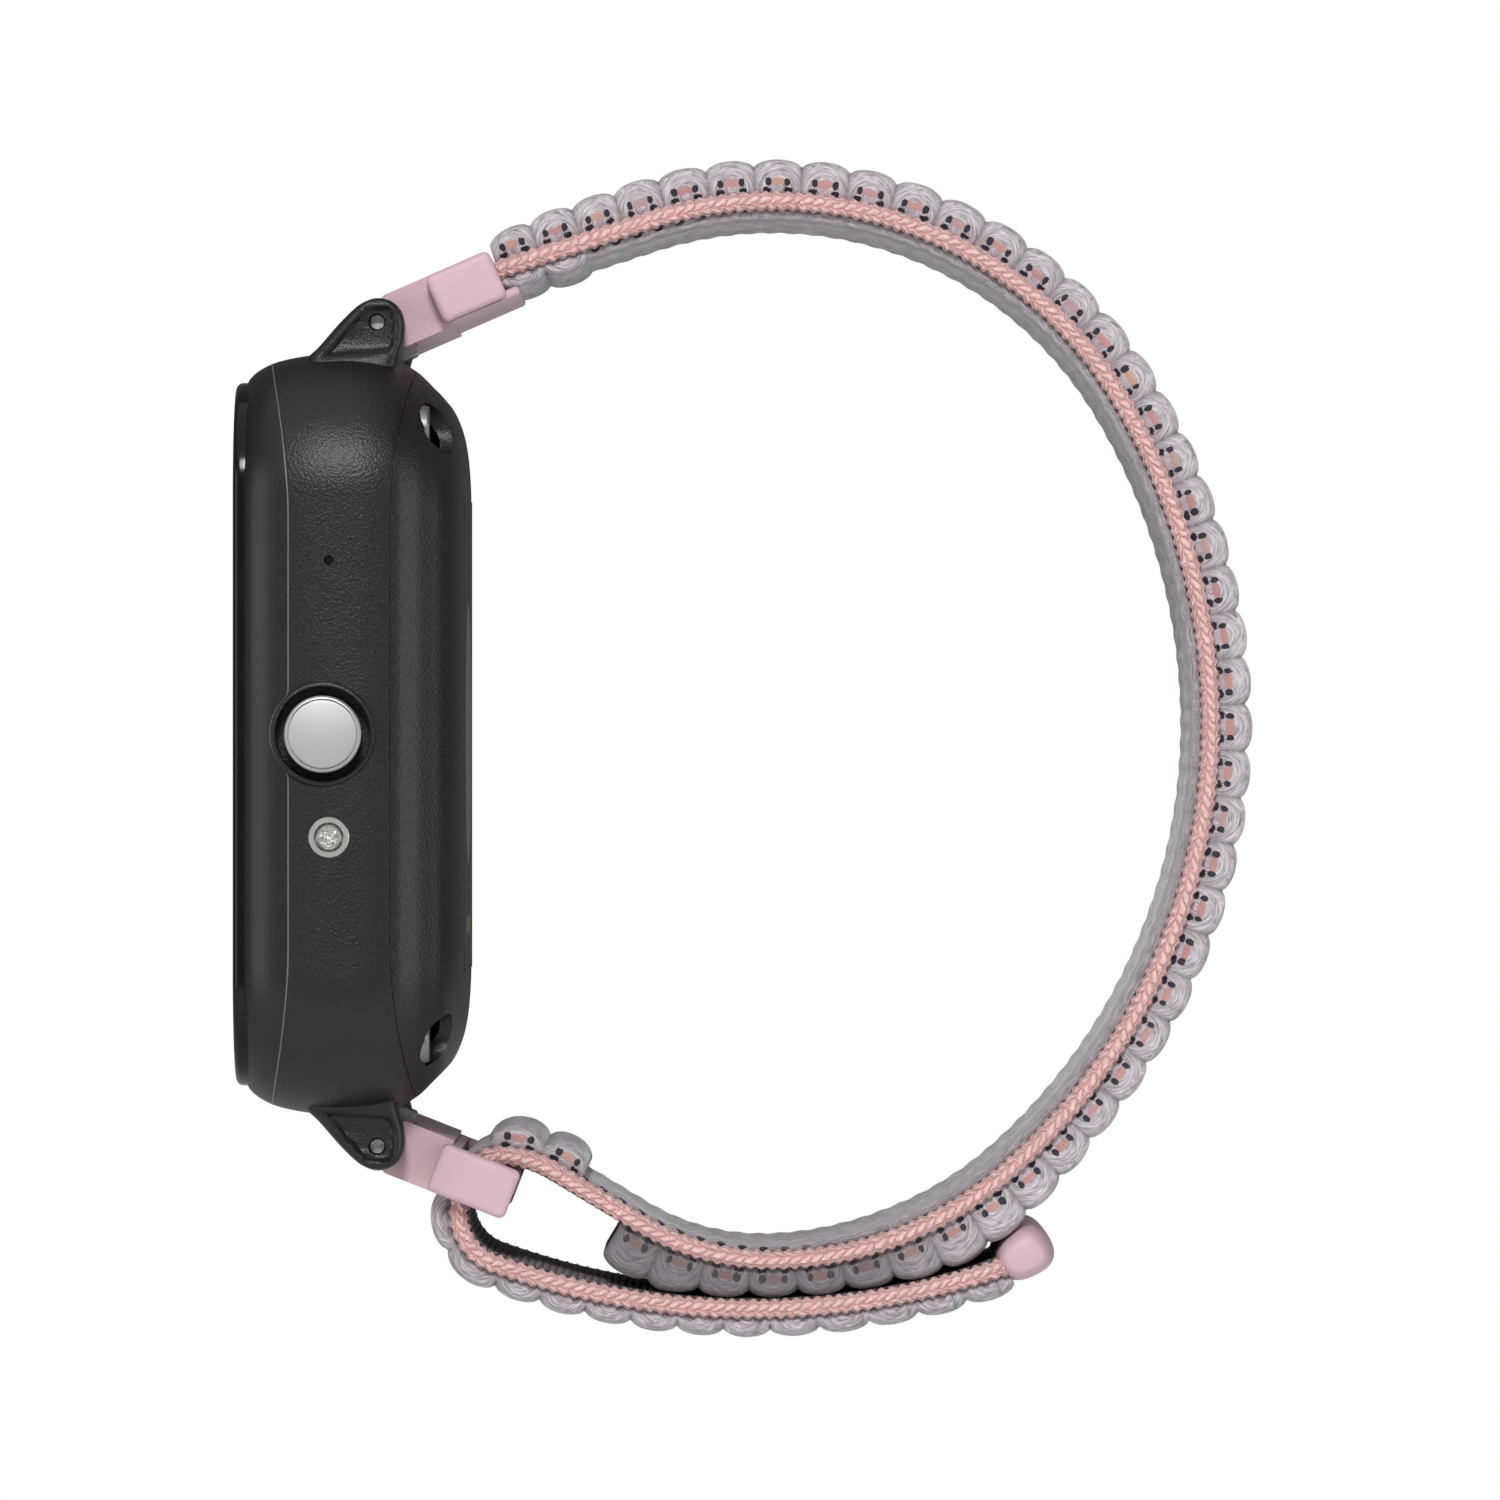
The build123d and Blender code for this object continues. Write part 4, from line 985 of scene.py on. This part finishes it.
SCREW_TURNS = (0.3, 1.0, 0.7, 0.1)
SCREW_R, SCREW_RECESS_R = 1.25, 1.5
WINDOW_R = 7.5
CONTACT_X, CONTACT_Z, CONTACT_R = (-3.9, -1.3, 1.3, 3.9), -11.0, 0.6
BUTTON_R, LAMP_R, SURROUND_R = 2.17, 1.15, 2.97
BEAD_R = 0.05
# (along the connector from and to, across it from and to, half width)
FILLINGS = ((3.55, 7.38, -1.42, -0.5, 11.58), (-0.6, 8.15, -1.68, -1.16, 9.78))
ALONG_X = (0, math.pi / 2, 0)
ALONG_Y = (math.pi / 2, 0, 0)


def along(table, value, column=1):
    """Smooth reading of a table of rising values."""
    if value <= table[0][0]:
        return table[0][column]
    for index in range(len(table) - 1):
        a, b = table[index], table[index + 1]
        if value <= b[0]:
            before = table[max(index - 1, 0)]
            after = table[min(index + 2, len(table) - 1)]
            width = b[0] - a[0]
            share = (value - a[0]) / width
            first = (b[column] - before[column]) / (b[0] - before[0]) * width
            last = (after[column] - a[column]) / (after[0] - a[0]) * width
            s2, s3 = share * share, share ** 3
            return ((2 * s3 - 3 * s2 + 1) * a[column] + (s3 - 2 * s2 + share) * first
                    + (3 * s2 - 2 * s3) * b[column] + (s3 - s2) * last)
    return table[-1][column]


def corner_turn(z):
    """How far a seam has begun to turn round the case's end at a height."""
    return max(0.0, (abs(z) - 12.5) / 9.0) ** 1.7


def rim(x, z):
    """Depth of the bezel's front rim."""
    return FRONT_RIM


def front_seam(x, z):
    """Depth of the seam between bezel and middle: it swells round the button."""
    if x > 0 and abs(z) < BOSS_HALF:
        return BOSS_Y - math.sqrt(BOSS_R ** 2 - z * z)
    return FRONT_SEAM - 1.1 * corner_turn(z)


def back_seam(x, z):
    """Depth of the seam between middle and back cover."""
    return BACK_SEAM + 1.3 * corner_turn(z)


def back_face(x, z):
    """Depth of the case's flat back."""
    return 0.0


def case_outline(k, inset):
    """Point of the case's rounded outline at a share of the way round."""
    half_x, half_z = HALF_X - inset, HALF_Z - inset
    corner = max(1.0, CORNER - 0.6 * inset)
    half_side, half_top, arc = half_z - corner, half_x - corner, corner * math.pi / 2
    quarter = math.floor(k * 4) % 4
    d = (k * 4 - math.floor(k * 4)) * (half_side + arc + half_top)
    if quarter % 2 == 1:
        d = half_side + arc + half_top - d
    if d < half_side:
        x, z = half_x, d
    elif d < half_side + arc:
        angle = (d - half_side) / corner
        x = half_x - corner + corner * math.cos(angle)
        z = half_z - corner + corner * math.sin(angle)
    else:
        x, z = half_x - corner - (d - half_side - arc), half_z
    return (x if quarter in (0, 3) else -x), (z if quarter in (0, 1) else -z)


def loop_grid(name, rows, columns, place, fill=False):
    """Closed ring or tube whose place(row share, column share) gives a point in mm."""
    bpy.ops.object.select_all(action="DESELECT")
    bpy.ops.mesh.primitive_grid_add(x_subdivisions=rows, y_subdivisions=columns, size=2.0)
    piece = start_piece(name)
    for vertex in piece.data.vertices:
        vertex.co = Vector(place((vertex.co.x + 1) / 2, (vertex.co.y + 1) / 2)) * MM
    close_mesh(piece, 2e-6, fill)
    return piece


def shell_ring(name, start, end, wall):
    """Band of the case between two seams, with rounded lips and an inner wall."""
    def place(row, k):
        x0, z0 = case_outline(k % 1.0, 0.0)
        first, last = start(x0, z0), end(x0, z0)
        step = row * SHELL_ROWS
        if step <= OUTER_ROWS:
            share = step / OUTER_ROWS
            y = first + (last - first) * (0.5 - 0.5 * math.cos(math.pi * share))
            inset = LIP * (max(0.0, 1 - share * 18) ** 2 + max(0.0, 1 - (1 - share) * 18) ** 2)
        elif step <= SHELL_ROWS - 1:
            share = (step - OUTER_ROWS - 1) / (SHELL_ROWS - OUTER_ROWS - 2)
            y = last + (first - last) * max(0.0, share)
            inset = wall
        else:
            y, inset = first, LIP
        x, z = case_outline(k % 1.0, along(SHELL, y) + inset)
        return x, y, z

    return loop_grid(name, SHELL_ROWS, SHELL_COLUMNS, place)


def cut_with(piece, tool, operation="DIFFERENCE"):
    """Cut a tool from a piece, or unite them, and remove the tool."""
    apply_modifier(piece, "BOOLEAN", operation=operation, solver="EXACT", object=tool)
    bpy.data.objects.remove(tool)


def cut(piece, radius, depth, location, rotation):
    """Cut a round hole from a piece; radius and depth are in mm, the place in metres."""
    bpy.ops.object.select_all(action="DESELECT")
    bpy.ops.mesh.primitive_cylinder_add(vertices=48, radius=radius * MM, depth=depth * MM,
                                        location=location, rotation=rotation)
    cut_with(piece, start_piece("cutter"))


def side_round(name, centre, radius, x0, x1):
    """Cylinder along X between two places in mm."""
    bpy.ops.object.select_all(action="DESELECT")
    bpy.ops.mesh.primitive_cylinder_add(
        vertices=64, radius=radius * MM, depth=(x1 - x0) * MM,
        location=((x0 + x1) / 2 * MM, centre[0], centre[1]), rotation=ALONG_X)
    return start_piece(name)


def steps_in(piece, steps):
    """Inset the outer face of a round piece and move it, step by step, in mm."""
    mesh = piece.data
    select_only(piece)
    for part in (*mesh.polygons, *mesh.edges, *mesh.vertices):
        part.select = False
    max(mesh.polygons, key=lambda face: (face.center.x, face.area)).select = True
    bpy.ops.object.mode_set(mode="EDIT")
    bpy.ops.mesh.select_mode(type="FACE")
    for thickness, move in steps:
        bpy.ops.mesh.inset(thickness=thickness * MM)
        bpy.ops.transform.translate(value=(move * MM, 0, 0))
    bpy.ops.object.mode_set(mode="OBJECT")


def copy_of(piece, place=(0, 0, 0), rotation=(0, 0, 0), scale=(1, 1, 1)):
    """Copy of a piece with its own mesh, moved, turned or mirrored."""
    select_only(piece)
    bpy.ops.object.duplicate(linked=False)
    made = bpy.context.object
    made.location, made.rotation_euler, made.scale = place, rotation, scale
    bpy.ops.object.transform_apply(location=True, rotation=True, scale=True)
    face_out(made)
    return made


def add_lug():
    """One lug: a flared foot, a rounded outline and a sunk panel on its outer face."""
    def place(row, k):
        z = LUG[0][0] + (LUG[-1][0] - LUG[0][0]) * (1 - (1 - row) ** 1.5)
        front, back, outer = (along(LUG, z, column) for column in (1, 2, 3))
        inner = 10.0 - max(0.0, 22.2 - z) ** 1.6 * 0.6
        c, n = rounded(k, 0.34, 0.34)
        y = (front + back) / 2 + n * (back - front) / 2
        x = (inner + outer) / 2 + c * (outer - inner) / 2
        facing = math.cos(2 * math.pi * k) - 0.2
        if facing > 0:
            margin = min((y - front) * 0.72, back - y, z - 21.05 - 0.1 * (y + 6.5), 24.85 - z)
            sunk = min(max((margin - 0.42) / 0.3, 0.0), 1.0) ** 1.5
            x -= PANEL_SINK * sunk * min(1.0, facing * 4)
        return x, y, z

    lug = loop_grid("lug", 34, 72, place, fill=True)
    cut(lug, LUG_HOLE_R, 30.0, (0.012, PIN[1], PIN[2]), ALONG_X)
    return lug


def add_screw():
    """Cross-headed screw on the back, at the case's middle."""
    bpy.ops.object.select_all(action="DESELECT")
    bpy.ops.mesh.primitive_cylinder_add(vertices=40, radius=SCREW_R * MM, depth=0.8 * MM,
                                        location=(0, -2.3 * MM, 0), rotation=ALONG_Y)
    screw = start_piece("screw")
    apply_modifier(screw, "BEVEL", width=0.14 * MM, segments=3)
    for turn in (0.0, math.pi / 2):
        bpy.ops.object.select_all(action="DESELECT")
        bpy.ops.mesh.primitive_cube_add(size=1, location=(0, -1.9 * MM, 0),
                                        rotation=(0, turn, 0),
                                        scale=(1.5 * MM, 0.5 * MM, 0.24 * MM))
        cut_with(screw, start_piece("slot"))
    return screw


class WATCH_OT_fittings(Operator):
    """Give the glass, connectors and inner parts their finishes"""
    bl_idname = "watch.fittings"
    bl_label = "Fittings"

    def execute(self, context):
        looks = finishes()
        for name, piece in frame["nodes"].items():
            piece.data.materials.clear()
            piece.data.materials.append(looks[NODE_FINISH.get(name, "steel")])
            for face in piece.data.polygons:
                face.use_smooth = True
            weld = piece.modifiers.new("Weld", "WELD")
            weld.merge_threshold = 2e-6
            split = piece.modifiers.new("Edges", "EDGE_SPLIT")
            split.split_angle = math.radians(28)
        return {"FINISHED"}


class WATCH_OT_tail_cap(Operator):
    """Build the moulded cap on the end of the tail"""
    bl_idname = "watch.tail_cap"
    bl_label = "Tail Cap"

    def execute(self, context):
        y, z, heading = strap_state(STRAP_LENGTH)
        ahead, up = unit(heading + 16), unit(heading + 106)
        bpy.ops.object.select_all(action="DESELECT")
        bpy.ops.mesh.primitive_uv_sphere_add(segments=72, ring_count=40, radius=1.0,
                                             rotation=ALONG_X)
        cap = start_piece("tail_cap")
        for vertex in cap.data.vertices:
            x, a, b = vertex.co
            ring = math.sqrt(max(1e-9, a * a + b * b))
            fill = ring ** 0.3
            a = signed_power(a / ring, 0.78) * fill
            b = signed_power(b / ring, 0.78) * fill
            u = 1.45 + a * 1.78
            v = -0.16 + b * (1.56 + 0.26 * a)
            if a > 0:
                u -= 0.035 * math.exp(-((v + 0.1) / 0.05) ** 2)
            vertex.co = Vector((signed_power(x, 0.9) * 10.6,
                                y + ahead[0] * u + up[0] * v,
                                z + ahead[1] * u + up[1] * v)) * MM
        finish_piece(cap, "tail_end", finishes()["connector"], 50.0)
        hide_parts("end_cap")
        return {"FINISHED"}


class WATCH_OT_springs(Operator):
    """Copy the spring bars' coils as smooth steel pieces carried by the strap ends"""
    bl_idname = "watch.springs"
    bl_label = "Springs"

    def execute(self, context):
        for end in ("upper", "lower"):
            node = end + "_bar_spring"
            mesh = frame["nodes"][node].data.copy()
            mesh.name = end + "_coil"
            coil = bpy.data.objects.new(mesh.name, mesh)
            context.scene.collection.objects.link(coil)
            close_mesh(coil, 1e-6, fill=False)
            finish_piece(coil, end + "_strap", finishes()["steel"], 40.0)
            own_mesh(coil)
            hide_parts(node)
        return {"FINISHED"}


class WATCH_OT_connector_filling(Operator):
    """Build the moulded blocks that close the upper connector round the strap's end"""
    bl_idname = "watch.connector_filling"
    bl_label = "Connector Filling"

    def execute(self, context):
        for number, (u0, u1, v0, v1, half) in enumerate(FILLINGS, 1):
            bpy.ops.object.select_all(action="DESELECT")
            bpy.ops.mesh.primitive_cube_add(size=1, location=(0, 0, 0))
            filling = start_piece("connector_filling_" + str(number))
            for vertex in filling.data.vertices:
                u = (u0 + u1) / 2 + vertex.co.y * (u1 - u0)
                v = (v0 + v1) / 2 + vertex.co.z * (v1 - v0)
                y, z = connector_point(u, v, UPPER_TILT, 1)
                vertex.co = Vector((vertex.co.x * 2 * half, y, z)) * MM
            apply_modifier(filling, "BEVEL", width=0.2 * MM, segments=3)
            finish_piece(filling, "upper_strap", finishes()["connector"], 40.0)
        return {"FINISHED"}


class WATCH_OT_screws(Operator):
    """Build the four screws of the back cover"""
    bl_idname = "watch.screws"
    bl_label = "Screws"

    def execute(self, context):
        first = add_screw()
        corners = [(x, z) for x in (-SCREW_X, SCREW_X) for z in (-SCREW_Z, SCREW_Z)]
        screws = [copy_of(first, (x * MM, 0, z * MM), (0, turn, 0))
                  for (x, z), turn in zip(corners, SCREW_TURNS)]
        bpy.data.objects.remove(first)
        heads = join_as("screw_heads", *screws)
        finish_piece(heads, "case", finishes()["screw"], 30.0)
        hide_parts("back_screws")
        return {"FINISHED"}


class WATCH_OT_case(Operator):
    """Build the bezel, the middle with its lugs and the back cover"""
    bl_idname = "watch.case"
    bl_label = "Case"

    def execute(self, context):
        looks = finishes()
        side = HALF_X * MM
        button, lamp = node_centre("button_cap"), node_centre("side_lamp_ring")
        bezel = shell_ring("bezel", rim, front_seam, 1.3)
        middle = shell_ring("middle", front_seam, back_seam, 1.3)
        back = shell_ring("back", back_seam, back_face, 1.2)
        bpy.ops.object.select_all(action="DESELECT")
        bpy.ops.mesh.primitive_cube_add(size=1, location=(0, -0.6 * MM, 0),
                                        scale=(20.8 * MM, 1.2 * MM, 27.2 * MM))
        cut_with(back, start_piece("lid"), "UNION")

        for piece in (bezel, middle):
            cut(piece, RECESS_R, 4.0, (side, *button), ALONG_X)
        cut(middle, PORT_R, 4.0, (side, lamp[0], PORT_Z * MM), ALONG_X)
        cut(middle, LAMP_SEAT_R, 4.0, (side, *lamp), ALONG_X)
        for x in (-SCREW_X, SCREW_X):
            for z in (-SCREW_Z, SCREW_Z):
                cut(back, SCREW_RECESS_R, 5.0, (x * MM, 0.35 * MM, z * MM), ALONG_Y)
        cut(back, WINDOW_R, 6.0, (0, 0, 0), ALONG_Y)
        for x in CONTACT_X:
            cut(back, CONTACT_R, 6.0, (x * MM, 0, CONTACT_Z * MM), ALONG_Y)

        lug = add_lug()
        lugs = [copy_of(lug, scale=(x, 1, z)) for x, z in ((-1, -1), (-1, 1), (1, -1))]
        middle = join_as("middle", middle, lug, *lugs)
        for piece, slot, node in ((bezel, "bezel", "front_bezel"), (middle, "case", "mid_case"),
                                  (back, "case", "back_cover")):
            finish_piece(piece, "case", looks[slot], 32.0)
            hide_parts(node)
        return {"FINISHED"}


class WATCH_OT_trim(Operator):
    """Build the raised ring round the button and the pale bead along the bezel's seam, which
    paints its edge highlight
    """
    bl_idname = "watch.trim"
    bl_label = "Trim"

    def execute(self, context):
        looks = finishes()
        ring = side_round("button_surround", node_centre("button_cap"), SURROUND_R, 16.6, HALF_X)
        steps_in(ring, ((0.05, 0.1), (0.07, 0.04), (0.1, 0.0), (0.07, -0.06), (0.03, -1.5)))
        finish_piece(ring, "case", looks["case"], 30.0)

        def place(row, k):
            y = front_seam(*case_outline(k % 1.0, 0.0))
            angle = 2 * math.pi * row
            inset = along(SHELL, y) + 0.03 + BEAD_R * math.cos(angle)
            x, z = case_outline(k % 1.0, inset)
            return x, y + BEAD_R * math.sin(angle), z

        # the bead's pale grey is a painted highlight on the seam's edge
        bead = loop_grid("bezel_bead", 8, SHELL_COLUMNS, place)
        finish_piece(bead, "case", looks["bead"], 60.0)
        return {"FINISHED"}


class WATCH_OT_button(Operator):
    """Build the side button's cap"""
    bl_idname = "watch.button"
    bl_label = "Button"

    def execute(self, context):
        low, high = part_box("button_cap")
        cap = side_round("button_face", node_centre("button_cap"), BUTTON_R, low[0] / MM,
                         high[0] / MM - 0.16)
        steps_in(cap, ((0.09, 0.1), (0.08, 0.02), (0.02, -0.14), (0.05, 0.0), (0.02, 0.14),
                       (0.07, 0.015)))
        finish_piece(cap, "button", finishes()["button"], 20.0)
        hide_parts("button_cap")
        return {"FINISHED"}


class WATCH_OT_lamp(Operator):
    """Build the side lamp's ring and lens"""
    bl_idname = "watch.lamp"
    bl_label = "Side Lamp"

    def execute(self, context):
        low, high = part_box("side_lamp_ring")
        ring = side_round("lamp_bezel", node_centre("side_lamp_ring"), LAMP_R, low[0] / MM,
                          high[0] / MM - 0.05)
        steps_in(ring, ((0.06, 0.05), (0.24, 0.0), (0.02, -0.6), (0.09, 0.0), (0.02, 0.5),
                        (0.06, 0.05), (0.02, -0.06), (0.1, 0.0)))
        finish_piece(ring, "case", finishes()["lamp"], 20.0)
        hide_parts("side_lamp_ring", "side_lamp_lens")
        return {"FINISHED"}


# ---- stage ------------------------------------------------------------------

FLOOR_SIZE, FLOOR_Z = 3.0, -0.16
WHITE = (1, 1, 1, 1)
ROOM_LIGHT = 0.13
# (name, place, size, power)
SOFT_BOXES = (("upper soft box", (0.62, -0.02, 0.36), 0.12, 3.0),
              ("lower soft box", (0.62, -0.02, -0.36), 0.12, 1.5),
              ("back soft box", (0.30, 0.62, 0.05), 0.35, 1.3),
              ("front soft box", (0.36, -0.60, 0.05), 0.35, 1.1))
CAMERA_DISTANCE = 0.76
VIEW_MIDDLE = (0.0163, -0.0009)
VIEW_PLANE_X, VIEW_WIDTH = 0.010, 0.0857
SENSOR = 36.0


def add_object(name, data):
    """Put new data on the stage as an object."""
    made = bpy.data.objects.new(name, data)
    bpy.context.scene.collection.objects.link(made)
    return made


def add_floor():
    """Large pale paper floor."""
    bpy.ops.object.select_all(action="DESELECT")
    bpy.ops.mesh.primitive_plane_add(size=FLOOR_SIZE, location=(0, 0, FLOOR_Z))
    floor = start_piece("floor")
    select_only(floor)
    bpy.ops.object.mode_set(mode="EDIT")
    bpy.ops.mesh.select_all(action="SELECT")
    bpy.ops.mesh.subdivide(number_cuts=4)
    bpy.ops.object.mode_set(mode="OBJECT")
    paper = Finish("Paper", (0.93, 0.93, 0.93), 0.9)
    paper.paint(paper.ramp(paper.noise(40.0, 3.0), [(0.3, (0.92, 0.92, 0.92)),
                                                    (0.7, (0.94, 0.94, 0.94))]))
    floor.data.materials.append(paper.material)


def set_world(scene):
    """White backdrop that lights the stage only weakly."""
    scene.world = scene.world or bpy.data.worlds.new("Studio")
    scene.world.use_nodes = True
    tree = scene.world.node_tree
    sky = tree.nodes["Background"]
    sky.inputs["Color"].default_value = WHITE
    path = tree.nodes.new("ShaderNodeLightPath")
    level = tree.nodes.new("ShaderNodeMapRange")
    level.inputs["To Min"].default_value = ROOM_LIGHT
    level.inputs["To Max"].default_value = 1.0
    tree.links.new(path.outputs["Is Camera Ray"], level.inputs["Value"])
    tree.links.new(level.outputs[0], sky.inputs["Strength"])
    scene.view_settings.view_transform = "Standard"


def add_lights():
    """Soft overhead light and four soft boxes aimed at the watch."""
    above = bpy.data.lights.new("overhead", "SUN")
    above.energy = 0.8
    above.angle = 1.3
    add_object("overhead", above).rotation_euler = (0.25, 0.3, 0)
    for name, place, size, power in SOFT_BOXES:
        light = bpy.data.lights.new(name, "AREA")
        light.size = size
        light.energy = power
        lamp = add_object(name, light)
        lamp.location = place
        aim = Vector((0, 0.016, 0)) - Vector(place)
        lamp.rotation_euler = aim.to_track_quat("-Z", "Y").to_euler()


def add_camera(scene):
    """Camera that looks straight at the button side."""
    lens = bpy.data.cameras.new("camera")
    camera = add_object("camera", lens)
    camera.location = (CAMERA_DISTANCE, *VIEW_MIDDLE)
    camera.rotation_euler = (math.pi / 2, 0, math.pi / 2)
    lens.sensor_width = SENSOR
    lens.lens = SENSOR * (CAMERA_DISTANCE - VIEW_PLANE_X) / VIEW_WIDTH
    lens.clip_start = 0.01
    scene.camera = camera


class WATCH_OT_stage(Operator):
    """Build the floor, lights and camera"""
    bl_idname = "watch.stage"
    bl_label = "Stage"

    def execute(self, context):
        add_floor()
        set_world(context.scene)
        add_lights()
        add_camera(context.scene)
        return {"FINISHED"}


# ---- panel and registration -------------------------------------------------

class WATCH_PT_panel(Panel):
    """Sidebar list of the watch's sizes, colours and pieces"""
    bl_idname = "WATCH_PT_panel"
    bl_label = "Watch"
    bl_space_type = "VIEW_3D"
    bl_region_type = "UI"
    bl_category = "Watch"

    def draw(self, context):
        for group in (context.scene.watch_strap, context.scene.watch_colours):
            box = self.layout.box()
            for name in group.__annotations__:
                box.prop(group, name)
        for operator in STEPS:
            self.layout.operator(operator.bl_idname)


STEPS = (WATCH_OT_stage, WATCH_OT_fittings, WATCH_OT_tail_cap, WATCH_OT_springs,
         WATCH_OT_connector_filling, WATCH_OT_screws, WATCH_OT_case, WATCH_OT_trim,
         WATCH_OT_button, WATCH_OT_lamp, WATCH_OT_main_strap, WATCH_OT_fold, WATCH_OT_tail)
CLASSES = (WatchStrapSizes, WatchColours, *STEPS, WATCH_PT_panel)


def register():
    """Register the classes and the panel's values."""
    for item in CLASSES:
        bpy.utils.register_class(item)
    bpy.types.Scene.watch_strap = PointerProperty(type=WatchStrapSizes)
    bpy.types.Scene.watch_colours = PointerProperty(type=WatchColours)


def unregister():
    """Remove the classes and the panel's values."""
    del bpy.types.Scene.watch_colours
    del bpy.types.Scene.watch_strap
    for item in reversed(CLASSES):
        bpy.utils.unregister_class(item)


def main():
    """Build everything."""
    register()
    bpy.ops.watch.stage()
    bpy.ops.watch.fittings()
    bpy.ops.watch.tail_cap()
    bpy.ops.watch.springs()
    bpy.ops.watch.connector_filling()
    bpy.ops.watch.screws()
    bpy.ops.watch.case()
    bpy.ops.watch.trim()
    bpy.ops.watch.button()
    bpy.ops.watch.lamp()
    bpy.ops.watch.main_strap()
    bpy.ops.watch.fold()
    bpy.ops.watch.tail()
    bpy.context.view_layer.update()


if __name__ == "__main__":
    main()
